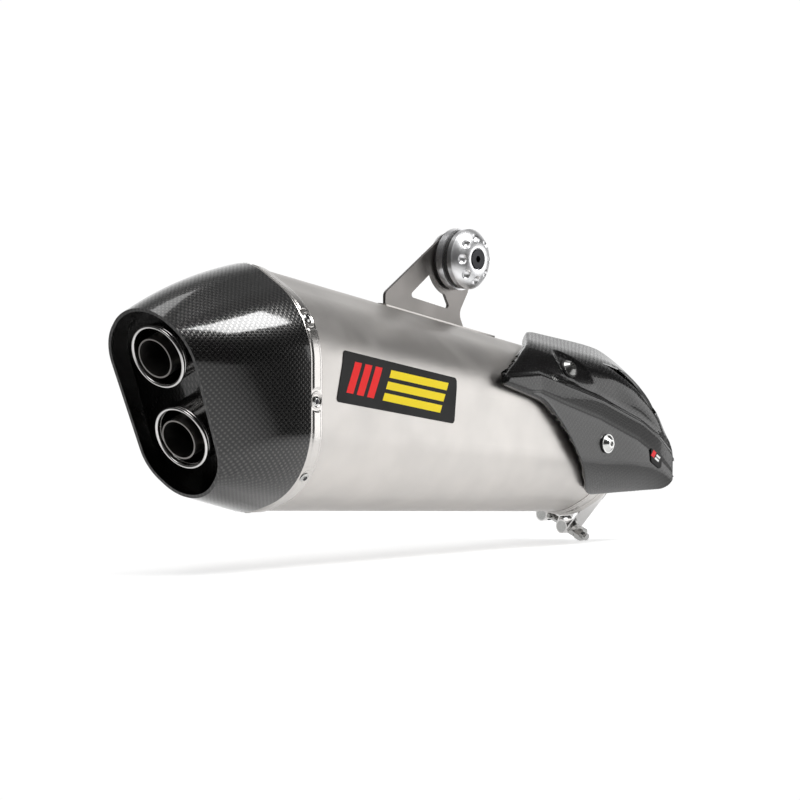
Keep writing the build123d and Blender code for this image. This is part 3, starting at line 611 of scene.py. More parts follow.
FINISHES = {finish.name: finish for finish in (
    MetalFinish("satin_titanium", (0.60, 0.575, 0.55), (0.54, 0.52, 0.50), 0.36),
    MetalFinish("titanium_band", (0.64, 0.62, 0.60), (0.56, 0.54, 0.52), 0.22, spread=0.06),
    CarbonFinish("carbon", WeaveMap.FACETS),
    MetalFinish("polished_steel", (0.78, 0.77, 0.76), (0.68, 0.67, 0.66), 0.12,
                grain=1200.0, grain_height=0.004 * MM),
    MetalFinish("pipe_steel", (0.34, 0.33, 0.32), (0.22, 0.21, 0.2), 0.3, spread=0.15),
    MetalFinish("pressed_steel", (0.5, 0.49, 0.48), (0.42, 0.41, 0.4), 0.4),
    DullFinish("glass_wool", (0.78, 0.74, 0.6), (0.6, 0.56, 0.44), 0.9,
               grain=600.0, grain_height=0.5 * MM),
    MetalFinish("bracket_titanium", (0.27, 0.255, 0.245), (0.21, 0.2, 0.19), 0.36),
    TurnedFinish("machined_aluminium", (0.88, 0.88, 0.89), (0.78, 0.78, 0.79), 0.3, BUSH_AXIS),
    DullFinish("black_rubber", (0.022, 0.022, 0.022), (0.012, 0.012, 0.012), 0.55),
    MetalFinish("zinc_steel", (0.6, 0.6, 0.59), (0.46, 0.46, 0.45), 0.16, spread=0.1),
    DullFinish("black_steel", (0.04, 0.04, 0.045), (0.02, 0.02, 0.022), 0.35,
               grain=1500.0, grain_height=0.02 * MM, metallic=0.8),
)}
SHIELD_WEAVE = CarbonFinish("carbon_surface", WeaveMap.SURFACE, bright=(0.045, 0.044, 0.042),
                            roughness=0.2, coat=0.6, coat_roughness=0.035)
PLATE_PRINT = PrintFinish(
    "name_plate_print", (PLATE_MIDDLE.x, PLATE_MIDDLE.z), tilt=-9.2,
    bars=(-58.0 * MM, -24.0 * MM), lines=(-14.0 * MM, 58.0 * MM), half_height=12.0 * MM,
    bar_pitch=12.5 * MM, line_pitch=9.0 * MM,
    bar_colour=(0.80, 0.012, 0.012), line_colour=(0.85, 0.66, 0.01))
BADGE_PRINT = PrintFinish(
    "badge_print", (BADGE_MIDDLE.x, BADGE_MIDDLE.z), tilt=-28.0,
    bars=(-6.5 * MM, -1.5 * MM), lines=(0.0, 6.5 * MM), half_height=4.5 * MM,
    bar_pitch=7.6 * MM, line_pitch=3.0 * MM,
    bar_colour=(0.75, 0.02, 0.03), line_colour=(0.8, 0.8, 0.8))


# ---------------------------------------------------------------------------
# Studio
# ---------------------------------------------------------------------------
@dataclass(frozen=True)
class SoftBox:
    """One soft lamp: its place, the point it faces, its size in metres and its power in watts."""

    name: str
    where: tuple[float, float, float]
    target: tuple[float, float, float]
    size: tuple[float, float]
    power: float

    def hang(self) -> None:
        """Put the lamp in the scene."""
        data = bpy.data.lights.new(self.name, "AREA")
        data.shape = "RECTANGLE"
        data.size, data.size_y = self.size
        data.energy = self.power
        made = placed(self.name, data)
        made.location = self.where
        facing = Vector(self.target) - Vector(self.where)
        made.rotation_euler = facing.to_track_quat("-Z", "Y").to_euler()


LAMPS = (
    SoftBox("key", (0.12, -1.0, 1.35), (-0.42, 0.0, 0.1), (0.8, 0.6), 20.0),
    SoftBox("overhead", (-0.5, 0.2, 1.9), (-0.25, 0.0, 0.05), (1.6, 1.2), 14.0),
    SoftBox("side_card", (1.5, -1.15, 0.1), (-0.1, 0.0, 0.05), (1.5, 1.1), 9.0),
    SoftBox("rear_card", (-1.5, -0.2, 0.9), (-0.25, 0.0, 0.05), (0.6, 0.9), 3.0),
)


@dataclass
class Studio:
    """The plain pale table, the soft lights and the camera."""

    azimuth: float = -50.0
    elevation: float = 2.0
    aim: tuple[float, float, float] = (-0.3296, -0.0783, 0.0699)
    distance: float = 2.9
    lens: float = 174.6
    sensor: float = 36.0
    table_gap: float = 0.8 * MM
    table_middle: tuple[float, float] = (-0.25, 0.0)
    table: float = 0.8
    table_solid: float = 0.35
    glow: float = 0.6
    bounce: float = 0.4
    backdrop_facing: tuple[float, float, float] = (0.766, 0.64, 0.06)
    backdrop: float = 0.95
    room: float = 0.035
    ceiling: float = 0.25
    white: float = 1.02

    def camera(self) -> None:
        """Set the camera that looks at the outer side from behind the outlets."""
        data = bpy.data.cameras.new("camera")
        data.lens = self.lens
        data.sensor_width = self.sensor
        data.clip_end = 50.0
        made = placed("camera", data)
        turn, rise = math.radians(self.azimuth), math.radians(self.elevation)
        level = math.cos(rise)
        ahead = Vector((-math.sin(turn) * level, math.cos(turn) * level, -math.sin(rise)))
        made.location = Vector(self.aim) - ahead * self.distance
        made.rotation_euler = ahead.to_track_quat("-Z", "Y").to_euler()
        bpy.context.scene.camera = made

    def floor(self) -> None:
        """Lay a round, pale table under the lowest point; its edge fades into the background."""
        work = bmesh.new()
        bmesh.ops.create_circle(work, cap_ends=True, radius=self.table, segments=96)
        mesh = bpy.data.meshes.new("floor")
        work.to_mesh(mesh)
        work.free()
        middle = Vector((*self.table_middle, CAD_BOX[0][2] - self.table_gap))
        for vertex in mesh.vertices:
            vertex.co += middle
        floor = placed("floor", mesh)
        paint = Paint("floor", Roughness=0.9, Specular_IOR_Level=0.1,
                      Emission_Color=rgba((1.0, 1.0, 1.0)))
        graph = paint.graph
        noise = paint.group(smudge_group(), {"Vector": paint.place, "Scale": 2.0})
        paint.feed("Base Color", graph.mix(
            noise.outputs["Mask"], rgba((0.74, 0.74, 0.74)), rgba((0.76, 0.76, 0.76))))
        seen = graph.node("ShaderNodeLightPath").outputs["Is Camera Ray"]
        paint.feed("Emission Strength", graph.ramp(seen, 0.0, 1.0, self.bounce, self.glow))
        away = graph.node("ShaderNodeVectorMath", {0: paint.place, 1: tuple(middle)},
                          operation="DISTANCE").outputs["Value"]
        paint.feed("Alpha", graph.ramp(away, self.table * self.table_solid, self.table, 1.0, 0.0))
        floor.data.materials.append(paint.material)

    def world(self) -> None:
        """White to the camera; to everything else a dim room with a bright backdrop behind."""
        world = bpy.data.worlds.new("room")
        world.use_nodes = True
        bpy.context.scene.world = world
        graph = Graph(world.node_tree)
        world.node_tree.nodes.clear()
        direction = graph.node("ShaderNodeTexCoord").outputs["Generated"]
        facing = graph.node("ShaderNodeVectorMath", {0: direction, 1: self.backdrop_facing},
                            operation="DOT_PRODUCT").outputs["Value"]
        backdrop = graph.ramp(facing, 0.70, 0.97, 0.0, self.backdrop)
        height = graph.node("ShaderNodeSeparateXYZ", {0: direction}).outputs[2]
        ceiling = graph.ramp(height, 0.45, 0.95, self.room, self.room + self.ceiling)
        level = graph.math("ADD", backdrop, ceiling)
        white = rgba((1.0, 1.0, 1.0))
        seen = graph.node("ShaderNodeBackground", {0: white, 1: self.white})
        light = graph.node("ShaderNodeBackground", {0: white, 1: level})
        pick = graph.node("ShaderNodeMixShader", {
            0: graph.node("ShaderNodeLightPath").outputs["Is Camera Ray"],
            1: light.outputs[0], 2: seen.outputs[0]})
        graph.node("ShaderNodeOutputWorld", {0: pick.outputs[0]})

    def build(self) -> None:
        """Set up the whole studio."""
        self.camera()
        self.floor()
        self.world()
        for lamp in LAMPS:
            lamp.hang()
        bpy.context.scene.view_settings.view_transform = "Standard"


# ---------------------------------------------------------------------------
# Surfaces taken from the frame
# ---------------------------------------------------------------------------
def mesh_parts(node: str) -> tuple[list, list]:
    """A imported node's points and faces."""
    mesh = frame["nodes"][node].data
    return [v.co for v in mesh.vertices], [p.vertices for p in mesh.polygons]


class RoundField:
    """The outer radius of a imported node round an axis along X, with its small holes healed.

    A place on the surface is (x, angle): angle 0 faces the outer side, -Y, and grows upward.
    """

    def __init__(self, node: str, stations: np.ndarray, angles: np.ndarray,
                 axis_height: Callable[[float], float], closed: bool) -> None:
        """Sample the node.

        Args:
            node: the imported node.
            stations: the X of each column, in metres.
            angles: the angles of each row, in radians.
            axis_height: the axis's height at a station.
            closed: True where the surface goes all the way round.
        """
        self.tree = BVHTree.FromPolygons(*mesh_parts(node))
        self.stations, self.angles = stations, angles
        self.axis_height, self.closed = axis_height, closed
        self.radius = np.array([[self.cast(x, a) for a in angles] for x in stations])
        if not closed:
            self.low = self.smoothed(self.edge(first=True))
            self.high = self.smoothed(self.edge(first=False))
        self.heal()

    @staticmethod
    def smoothed(edge: np.ndarray, reach: int = 4) -> np.ndarray:
        """Even out the small steps that sampling leaves along an edge.

        Args:
            edge: the edge's angle at each column.
            reach: how many columns the smoothing spans.

        Returns:
            The smoothed angles.
        """
        offsets = np.arange(-2 * reach, 2 * reach + 1)
        kernel = np.exp(-(offsets / reach) ** 2)
        padded = np.pad(edge, 2 * reach, mode="reflect", reflect_type="odd")
        return np.convolve(padded, kernel / kernel.sum(), mode="valid")

    def cast(self, x: float, angle: float) -> float:
        """Find the outer radius at one place.

        Args:
            x: the place's station.
            angle: its angle, in radians.

        Returns:
            The radius, or nan where there is no surface.
        """
        far = 0.2
        out = Vector((0.0, -math.cos(angle), math.sin(angle)))
        middle = Vector((x, 0.0, self.axis_height(x)))
        hit = self.tree.ray_cast(middle + out * far, -out, far)[0]
        return (hit - middle).length if hit is not None else math.nan

    def edge(self, first: bool) -> np.ndarray:
        """Find where each column's surface starts or ends, to a fraction of a sample.

        Args:
            first: True for where it starts.

        Returns:
            The angle at each column, in radians.
        """
        found = []
        for x, column in zip(self.stations, self.radius):
            there = np.flatnonzero(~np.isnan(column))
            index = there[0] if first else there[-1]
            inside = self.angles[index]
            outside = inside + (-1 if first else 1) * (self.angles[1] - self.angles[0])
            for _ in range(12):
                middle = (inside + outside) / 2
                if math.isnan(self.cast(x, middle)):
                    outside = middle
                else:
                    inside = middle
            found.append(inside)
        return np.array(found)

    def heal(self) -> None:
        """Fill holes and the rows past the edges from their neighbours along each column."""
        for column in self.radius:
            known = ~np.isnan(column)
            column[~known] = np.interp(self.angles[~known], self.angles[known], column[known],
                                       period=2 * math.pi if self.closed else None)

    def points(self, column: int, angles: np.ndarray) -> np.ndarray:
        """Read points of one column.

        Args:
            column: the column's number.
            angles: the angles to read at, in radians.

        Returns:
            A point for each angle.
        """
        x = self.stations[column]
        period = 2 * math.pi if self.closed else None
        radius = np.interp(angles, self.angles, self.radius[column], period=period)
        return np.stack([np.full_like(angles, x), -radius * np.cos(angles),
                         self.axis_height(x) + radius * np.sin(angles)], axis=-1)


def grid_normals(grid: np.ndarray, wrap: bool) -> np.ndarray:
    """Unit normals of a grid of points, pointing away from the axis.

    Args:
        grid: points by column and row.
        wrap: True where the rows close on themselves.

    Returns:
        An array of the same shape.
    """
    along = np.gradient(grid, axis=0)
    if wrap:
        round_ = np.roll(grid, -1, axis=1) - np.roll(grid, 1, axis=1)
    else:
        round_ = np.gradient(grid, axis=1)
    normal = np.cross(along, round_)
    normal /= np.linalg.norm(normal, axis=-1, keepdims=True)
    outward = grid - np.array([0.0, 0.0, grid[..., 2].mean()])
    flip = np.sign((normal[..., 1:] * outward[..., 1:]).sum(axis=-1, keepdims=True))
    return normal * np.where(flip == 0, 1, np.median(flip))


def grid_object(name: str, grid: np.ndarray, wrap_rows: bool, wrap_columns: bool,
                uv: np.ndarray | None = None) -> bpy.types.Object:
    """Make a mesh object from a grid of points.

    Args:
        name: the object's name.
        grid: points by column and row, in metres.
        wrap_rows: True where the last row joins the first.
        wrap_columns: True where the last column joins the first.
        uv: texture coordinates by column and row.

    Returns:
        The object, linked, with smooth faces that point outward.
    """
    columns, rows = grid.shape[:2]
    index = np.arange(columns * rows).reshape(columns, rows)
    if wrap_rows:
        index = np.concatenate([index, index[:, :1]], axis=1)
    if wrap_columns:
        index = np.concatenate([index, index[:1]], axis=0)
    faces = np.stack([index[:-1, :-1], index[1:, :-1], index[1:, 1:], index[:-1, 1:]], axis=-1)
    mesh = bpy.data.meshes.new(name)
    mesh.from_pydata(grid.reshape(-1, 3).tolist(), [], faces.reshape(-1, 4).tolist())
    mesh.polygons.foreach_set("use_smooth", [True] * len(mesh.polygons))
    if uv is not None:
        flat = uv.reshape(-1, 2)
        corners = np.zeros(len(mesh.loops), np.int32)
        mesh.loops.foreach_get("vertex_index", corners)
        layer = mesh.uv_layers.new(name="weave")
        layer.data.foreach_set("uv", flat[corners].ravel())
    face_out(mesh)
    return placed(name, mesh)


def face_out(mesh: bpy.types.Mesh) -> None:
    """Turn every face of a closed mesh outward.

    Args:
        mesh: the mesh, changed in place.
    """
    work = bmesh.new()
    work.from_mesh(mesh)
    bmesh.ops.recalc_face_normals(work, faces=work.faces)
    if work.calc_volume(signed=True) < 0:
        bmesh.ops.reverse_faces(work, faces=work.faces)
    work.to_mesh(mesh)
    work.free()


def settle(piece: bpy.types.Object, sharp: float = 35.0) -> None:
    """Replace a piece's mesh by its evaluated one, drop its modifiers and keep its creases.

    Args:
        piece: the object.
        sharp: the angle in degrees from which an edge is shaded sharp.
    """
    shown = piece.evaluated_get(bpy.context.evaluated_depsgraph_get())
    mesh = bpy.data.meshes.new_from_object(shown)
    piece.modifiers.clear()
    piece.data = mesh
    mesh.polygons.foreach_set("use_smooth", [True] * len(mesh.polygons))
    mesh.set_sharp_from_angle(angle=math.radians(sharp))


def finish_piece(piece: bpy.types.Object, material: bpy.types.Material | None, body: str,
                 nodes: Iterable[str] = ()) -> None:
    """Dress a new piece, let it ride on its body and hide what it stands for.

    Args:
        piece: the finished object.
        material: its finish, or None where it has one already.
        body: the body that it moves with.
        nodes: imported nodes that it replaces.
    """
    if material is not None:
        piece.data.materials.clear()
        piece.data.materials.append(material)
    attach(piece, body)
    if nodes:
        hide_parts(*nodes)
    LOG.info("%s: %d faces, rides on %s", piece.name, len(piece.data.polygons), body)


def islands(node: str) -> list[np.ndarray]:
    """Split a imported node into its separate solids.

    Args:
        node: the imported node.

    Returns:
        The points of each solid.
    """
    work = bmesh.new()
    work.from_mesh(frame["nodes"][node].data)
    bmesh.ops.remove_doubles(work, verts=work.verts, dist=1e-6)
    left, found = set(work.verts), []
    while left:
        edge = [left.pop()]
        group = list(edge)
        while edge:
            for link in edge.pop().link_edges:
                for vert in link.verts:
                    if vert in left:
                        left.remove(vert)
                        edge.append(vert)
                        group.append(vert)
        found.append(np.array([tuple(v.co) for v in group]))
    work.free()
    return found


def rounded(corners: Sequence[tuple[float, float]], radius: float,
            steps: int = 6) -> list[tuple[float, float]]:
    """Round the corners of a closed outline.

    Args:
        corners: the outline's corners, in order.
        radius: how far from each corner its curve starts.
        steps: points on each curve.

    Returns:
        The rounded outline's points.
    """
    points = []
    for index, corner in enumerate(corners):
        here = np.array(corner)
        ends = []
        for other in (corners[index - 1], corners[(index + 1) % len(corners)]):
            away = np.array(other) - here
            reach = min(radius, 0.45 * np.linalg.norm(away))
            ends.append(here + away / np.linalg.norm(away) * reach)
        for share in np.linspace(0.0, 1.0, steps):
            left = 1 - share
            curve = ends[0] * left ** 2 + here * 2 * share * left + ends[1] * share ** 2
            points.append((float(curve[0]), float(curve[1])))
    return points


def smooth_step(value: np.ndarray, low: float, high: float) -> np.ndarray:
    """Rise softly from 0 at low to 1 at high."""
    share = np.clip((value - low) / (high - low), 0.0, 1.0)
    return share * share * (3 - 2 * share)


# ---------------------------------------------------------------------------
# Bands and rivets
# ---------------------------------------------------------------------------
class Side(Enum):
    """The two ends of the sleeve."""

    REAR = "rear"
    FRONT = "front"


@dataclass
class PressedBand:
    """A thin band round the sleeve, with long pressed beads between its dimpled rivets."""

    side: Side
    wall: float = 0.8 * MM
    inset: float = 0.05 * MM
    bead_height: float = 0.75 * MM
    bead_margin: float = 2.9 * MM
    bead_gap: float = 8.5 * MM
    dimple_radius: float = 6.0 * MM
    dimple_depth: float = 0.55 * MM
    dimple_wall: float = 1.6 * MM
    lip_height: float = 0.35 * MM
    lip_width: float = 0.7 * MM
    edge_roll: float = 0.5 * MM
    roll_width: float = 0.9 * MM
    front_rim: float = 2.4 * MM
    rounds: int = 900
    columns: int = 27

    def __post_init__(self) -> None:
        """Find the band's place and its rivets in the frame."""
        self.node = f"{self.side.value}_band"
        low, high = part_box(self.node)
        rim = self.front_rim if self.side is Side.FRONT else 0.0
        self.start, self.end = low.x + self.inset, high.x - self.inset - rim
        self.height = (low.z + high.z) / 2
        self.rivets = [group.mean(axis=0) for group in islands(f"{self.side.value}_rivets")]

    def field(self) -> RoundField:
        """Sample the band's outer surface.

        Returns:
            The sampled surface.
        """
        stations = np.linspace(self.start, self.end, self.columns)
        angles = np.linspace(-math.pi, math.pi, self.rounds, endpoint=False)
        return RoundField(self.node, stations, angles, lambda x: self.height, closed=True)

    def relief(self, grid: np.ndarray) -> np.ndarray:
        """Height of the pressed pattern over the plain band.

        Args:
            grid: the plain outer surface, by column and row.

        Returns:
            The height at each point, in metres.
        """
        from_edge = np.minimum(grid[..., 0] - self.start, self.end - grid[..., 0])
        nearest = np.full(grid.shape[:2], np.inf)
        for spot in self.rivets:
            across = np.linalg.norm((grid - spot)[..., 1:], axis=-1)
            nearest = np.minimum(nearest, np.hypot(across, grid[..., 0] - spot[0]))
        depth = np.minimum(from_edge - self.bead_margin, (nearest - self.bead_gap) * 0.7)
        bead = self.bead_height * smooth_step(depth, -0.3 * MM, 0.8 * MM)
        floor = self.dimple_radius - self.dimple_wall
        dimple = -self.dimple_depth * (1 - smooth_step(nearest, floor, self.dimple_radius))
        lip = self.lip_height * np.exp(-((nearest - self.dimple_radius) / self.lip_width) ** 2)
        roll = -self.edge_roll * (1 - smooth_step(from_edge, 0.0, self.roll_width))
        return bead + dimple + lip + roll

    def build(self, finish: bpy.types.Material) -> None:
        """Make the band as one closed ring.

        Args:
            finish: the band's metal.
        """
        field = self.field()
        plain = np.stack([field.points(i, field.angles) for i in range(self.columns)])
        normals = grid_normals(plain, wrap=True)
        outer = plain + normals * self.relief(plain)[..., None]
        inner = plain - normals * (self.wall - self.inset)
        ring = np.concatenate([outer, inner[::-1]])
        piece = grid_object(f"{self.node}_pressed", ring, wrap_rows=True, wrap_columns=True)
        finish_piece(piece, finish, "root", (self.node,))


class Modelling:
    """A Geometry Nodes tree with named inputs, run once on an object to a plain mesh."""

    def __init__(self, name: str, sizes: dict[str, float]) -> None:
        """Start a tree.

        Args:
            name: the tree's name.
            sizes: its number inputs with their values.
        """
        self.tree = bpy.data.node_groups.new(name, "GeometryNodeTree")
        sockets = self.tree.interface
        sockets.new_socket("Geometry", in_out="INPUT", socket_type="NodeSocketGeometry")
        self.sizes = sizes
        self.keys = {}
        for label, value in sizes.items():
            kind = "NodeSocketInt" if isinstance(value, int) else "NodeSocketFloat"
            made = sockets.new_socket(label, in_out="INPUT", socket_type=kind)
            self.keys[label] = made.identifier
        sockets.new_socket("Geometry", in_out="OUTPUT", socket_type="NodeSocketGeometry")
        self.graph = Graph(self.tree)
        self.start = self.graph.node("NodeGroupInput")
        self.end = self.graph.node("NodeGroupOutput")

    def size(self, label: str) -> bpy.types.NodeSocket:
        """The socket of a named size."""
        return self.start.outputs[label]

    def joined(self, *parts: bpy.types.NodeSocket) -> bpy.types.NodeSocket:
        """Join several geometries.

        Args:
            *parts: the geometries.

        Returns:
            All of them as one.
        """
        both = self.graph.node("GeometryNodeJoinGeometry")
        for part in parts:
            self.tree.links.new(part, both.inputs[0])
        return both.outputs[0]

    def dressed(self, geometry: bpy.types.NodeSocket,
                material: bpy.types.Material) -> bpy.types.NodeSocket:
        """A geometry in one material."""
        sockets = {"Geometry": geometry, "Material": material}
        return self.graph.node("GeometryNodeSetMaterial", sockets).outputs[0]

    def finish(self, geometry: bpy.types.NodeSocket) -> None:
        """End the tree with real geometry.

        Args:
            geometry: what the tree made.
        """
        real = self.graph.node("GeometryNodeRealizeInstances", {0: geometry})
        self.tree.links.new(real.outputs[0], self.end.inputs[0])

    def run(self, piece: bpy.types.Object, sharp: float = 35.0) -> None:
        """Run the tree on an object and keep the plain result.

        Args:
            piece: the object that carries the points or path.
            sharp: the angle from which an edge is shaded sharp.
        """
        modifier = piece.modifiers.new("shape", "NODES")
        modifier.node_group = self.tree
        for label, value in self.sizes.items():
            modifier[self.keys[label]] = value
        settle(piece, sharp)


def point_object(name: str, points: Sequence[Sequence[float]],
                 facings: Sequence[Sequence[float]]) -> bpy.types.Object:
    """Make an object of loose points that each carry a facing.

    Args:
        name: the object's name.
        points: the places.
        facings: the outward direction at each.

    Returns:
        The linked object.
    """
    mesh = bpy.data.meshes.new(name)
    mesh.from_pydata([tuple(p) for p in points], [], [])
    layer = mesh.attributes.new("facing", "FLOAT_VECTOR", "POINT")
    layer.data.foreach_set("vector", np.array(facings, np.float32).ravel())
    return placed(name, mesh)


def on_points(model: Modelling, shape: bpy.types.NodeSocket,
              scale: bpy.types.NodeSocket | None = None) -> bpy.types.NodeSocket:
    """Set a shape on each point, turned to its facing.

    Args:
        model: the tree under way.
        shape: the geometry to repeat, standing along Z.
        scale: a scale for each point.

    Returns:
        The instances.
    """
    graph = model.graph
    facing = graph.node("GeometryNodeInputNamedAttribute", {"Name": "facing"},
                        data_type="FLOAT_VECTOR")
    turned = graph.node("FunctionNodeAlignRotationToVector", {"Vector": facing.outputs[0]},
                        axis="Z")
    sockets = {"Points": model.start.outputs[0], "Instance": shape, "Rotation": turned.outputs[0]}
    if scale is not None:
        sockets["Scale"] = scale
    return graph.node("GeometryNodeInstanceOnPoints", sockets).outputs[0]


@dataclass
class RivetRing:
    """Blind rivets round one end: a domed flange, with a dark disc just inside its mouth that paints
    the open bore's shade.
    """

    side: Side
    head_radius: float = 4.0 * MM
    bore_radius: float = 1.85 * MM
    head_height: float = 0.95 * MM
    lip: float = 0.45 * MM
    lip_rise: float = 0.75
    # share of the head's height at which the dark disc of painted bore shade sits
    shade_plug_rise: float = 0.95
    sunk: float = 1.45
    head_slice: float = 0.2 * MM

    def __post_init__(self) -> None:
        """Find the rivets and how the sleeve faces at each."""
        self.node = f"{self.side.value}_rivets"
        low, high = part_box(f"{self.side.value}_band")
        axis = (low.z + high.z) / 2
        self.points, self.facings = [], []
        skin = "sleeve" if self.side is Side.REAR else "front_cap"
        tree = BVHTree.FromPolygons(*mesh_parts(skin))
        for group in islands(self.node):
            middle = Vector(group.mean(axis=0))
            toward = Vector((0.0, middle.y, middle.z - axis)).normalized()
            heights = (group - np.array(middle)) @ np.array(toward)
            normal = tree.find_nearest(middle + toward * heights.max())[1]
            facing = normal if normal.dot(toward) > 0 else -normal
            if facing.dot(toward) < 0.8:
                facing = toward
            top = group[heights > heights.max() - self.head_slice].mean(axis=0)
            self.points.append(Vector(top) - facing * self.head_height * self.sunk)
            self.facings.append(facing)

    def build(self, metal: bpy.types.Material, dark: bpy.types.Material) -> None:
        """Make the ring of rivets.

        Args:
            metal: the flange's finish.
            dark: the finish of that disc, which paints the bore's shade.
        """
        model = Modelling(f"rivets_{self.side.value}", {
            "Head Radius": self.head_radius, "Bore Radius": self.bore_radius,
            "Head Height": self.head_height, "Lip": self.lip})
        graph = model.graph
        mouth = graph.math("ADD", model.size("Bore Radius"), model.size("Lip"))
        profile, ring = (
            graph.node("GeometryNodeCurvePrimitiveCircle", {"Resolution": sides, "Radius": radius})
            for sides, radius in ((12, model.size("Lip")), (28, mouth)))
        lip = graph.node("GeometryNodeCurveToMesh", {0: ring.outputs[0], 1: profile.outputs[0]})
        flange = graph.node("GeometryNodeMeshCone", {
            "Vertices": 28, "Side Segments": 3, "Radius Top": mouth,
            "Radius Bottom": model.size("Head Radius"), "Depth": model.size("Head Height")})
        # a thin dark disc just under the lip, as painted shade where the open bore would be
        shade_plug = graph.node("GeometryNodeMeshCylinder", {
            "Vertices": 24, "Radius": graph.math("ADD", model.size("Bore Radius"), 0.1 * MM),
            "Depth": 0.3 * MM})
        raised, floor = (
            graph.node("GeometryNodeTransform", {
                "Geometry": part.outputs[0], "Translation": self.offset(model, share)}).outputs[0]
            for part, share in ((lip, self.lip_rise), (shade_plug, self.shade_plug_rise)))
        bright = model.dressed(model.joined(raised, flange.outputs[0]), metal)
        # the disc wears the dark finish: painted shade of the bore
        model.finish(on_points(model, model.joined(model.dressed(floor, dark), bright)))
        piece = point_object(f"{self.node}_open", self.points, self.facings)
        model.run(piece)
        finish_piece(piece, None, "root", (self.node,))

    def offset(self, model: Modelling, share: float) -> bpy.types.NodeSocket:
        """A step up from the seat by a share of the head's height."""
        rise = model.graph.math("MULTIPLY", model.size("Head Height"), share)
        return model.graph.node("ShaderNodeCombineXYZ", {2: rise}).outputs[0]


@dataclass
class RolledRim:
    """Two rolled beads round the front end, one behind the other."""

    radius: float = 1.7 * MM
    pitch: float = 3.2 * MM
    rounds: int = 360
    sides: int = 14

    def path(self, x: float, field: RoundField, column: int, sink: float) -> bpy.types.Object:
        """Make one closed path on the band.

        Args:
            x: the bead's station, for its name.
            field: the band's sampled surface.
            column: which column of the field.
            sink: how far the path lies under the surface.

        Returns:
            An object of one closed loop of edges.
        """
        points = field.points(column, field.angles)
        centre = np.array([0.0, 0.0, field.axis_height(x)])
        toward = points - centre
        toward[:, 0] = 0.0
        toward /= np.linalg.norm(toward, axis=1, keepdims=True)
        points = points - toward * sink
        count = len(points)
        mesh = bpy.data.meshes.new("rim_path")
        mesh.from_pydata(points.tolist(), [(i, (i + 1) % count) for i in range(count)], [])
        return placed("rim_path", mesh)

    def build(self, metal: bpy.types.Material) -> None:
        """Make both beads.

        Args:
            metal: their finish.
        """
        low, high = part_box("front_band")
        stations = np.array([high.x - self.radius - self.pitch, high.x - self.radius])
        angles = np.linspace(-math.pi, math.pi, self.rounds, endpoint=False)
        middle = (low.z + high.z) / 2
        field = RoundField("front_band", stations, angles, lambda x: middle, closed=True)
        for number, x in enumerate(stations):
            sizes = {"Bead Radius": self.radius, "Sides": self.sides}
            model = Modelling(f"rolled_rim_{number}", sizes)
            graph = model.graph
            curve = graph.node("GeometryNodeMeshToCurve", {0: model.start.outputs[0]})
            round_ = graph.node("GeometryNodeCurvePrimitiveCircle", {
                "Resolution": model.size("Sides"), "Radius": model.size("Bead Radius")})
            tube = graph.node("GeometryNodeCurveToMesh", {
                0: curve.outputs[0], 1: round_.outputs[0]})
            model.finish(model.dressed(tube.outputs[0], metal))
            sink = self.radius if number else 0.0
            piece = self.path(x, field, number, sink)
            piece.name = f"front_rim_bead_{number + 1}"
            model.run(piece, 60.0)
            finish_piece(piece, None, "root")


@dataclass
class WeldBeads:
    """Small tack beads where the bracket's plate meets its pad."""

    start_share: float = 0.03
    end_share: float = 0.97
    foot_share: float = 0.6
    beads: int = 34
    radius: float = 1.3 * MM
    seed: int = 7

    def spots(self) -> tuple[list[Vector], list[Vector]]:
        """Find the places along both faces of the plate's foot.

        Returns:
            The places and their facings.
        """
        low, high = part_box("hanger_bracket")
        pad = BVHTree.FromPolygons(*mesh_parts("bracket_pad"))
        points, facings = [], []
        foot = (high.x - low.x) * self.foot_share
        down = Vector((0.0, 0.0, -1.0))
        for face in (low.y, high.y):
            for share in np.linspace(self.start_share, self.end_share, self.beads):
                start = Vector((low.x + foot * share, face * 1.05, high.z + 0.05))
                hit, normal, _, _ = pad.ray_cast(start, down)
                if hit is not None:
                    points.append(hit + Vector((0.0, 0.0, 0.1 * MM)))
                    facings.append(normal)
        return points, facings

    def build(self, metal: bpy.types.Material) -> None:
        """Make the beads.

        Args:
            metal: their finish.
        """
        model = Modelling("weld_beads", {"Bead Radius": self.radius, "Seed": self.seed})
        graph = model.graph
        ball = graph.node("GeometryNodeMeshIcoSphere", {
            "Radius": model.size("Bead Radius"), "Subdivisions": 2})
        flat = graph.node("GeometryNodeTransform", {
            "Geometry": ball.outputs[0], "Scale": (1.15, 0.95, 0.6)})
        size = graph.node("FunctionNodeRandomValue", {2: 0.75, 3: 1.1, "Seed": model.size("Seed")},
                          data_type="FLOAT")
        model.finish(model.dressed(on_points(model, flat.outputs[0], size.outputs[1]), metal))
        points, facings = self.spots()
        piece = point_object("bracket_weld_beads", points, facings)
        model.run(piece, 80.0)
        finish_piece(piece, None, "root")


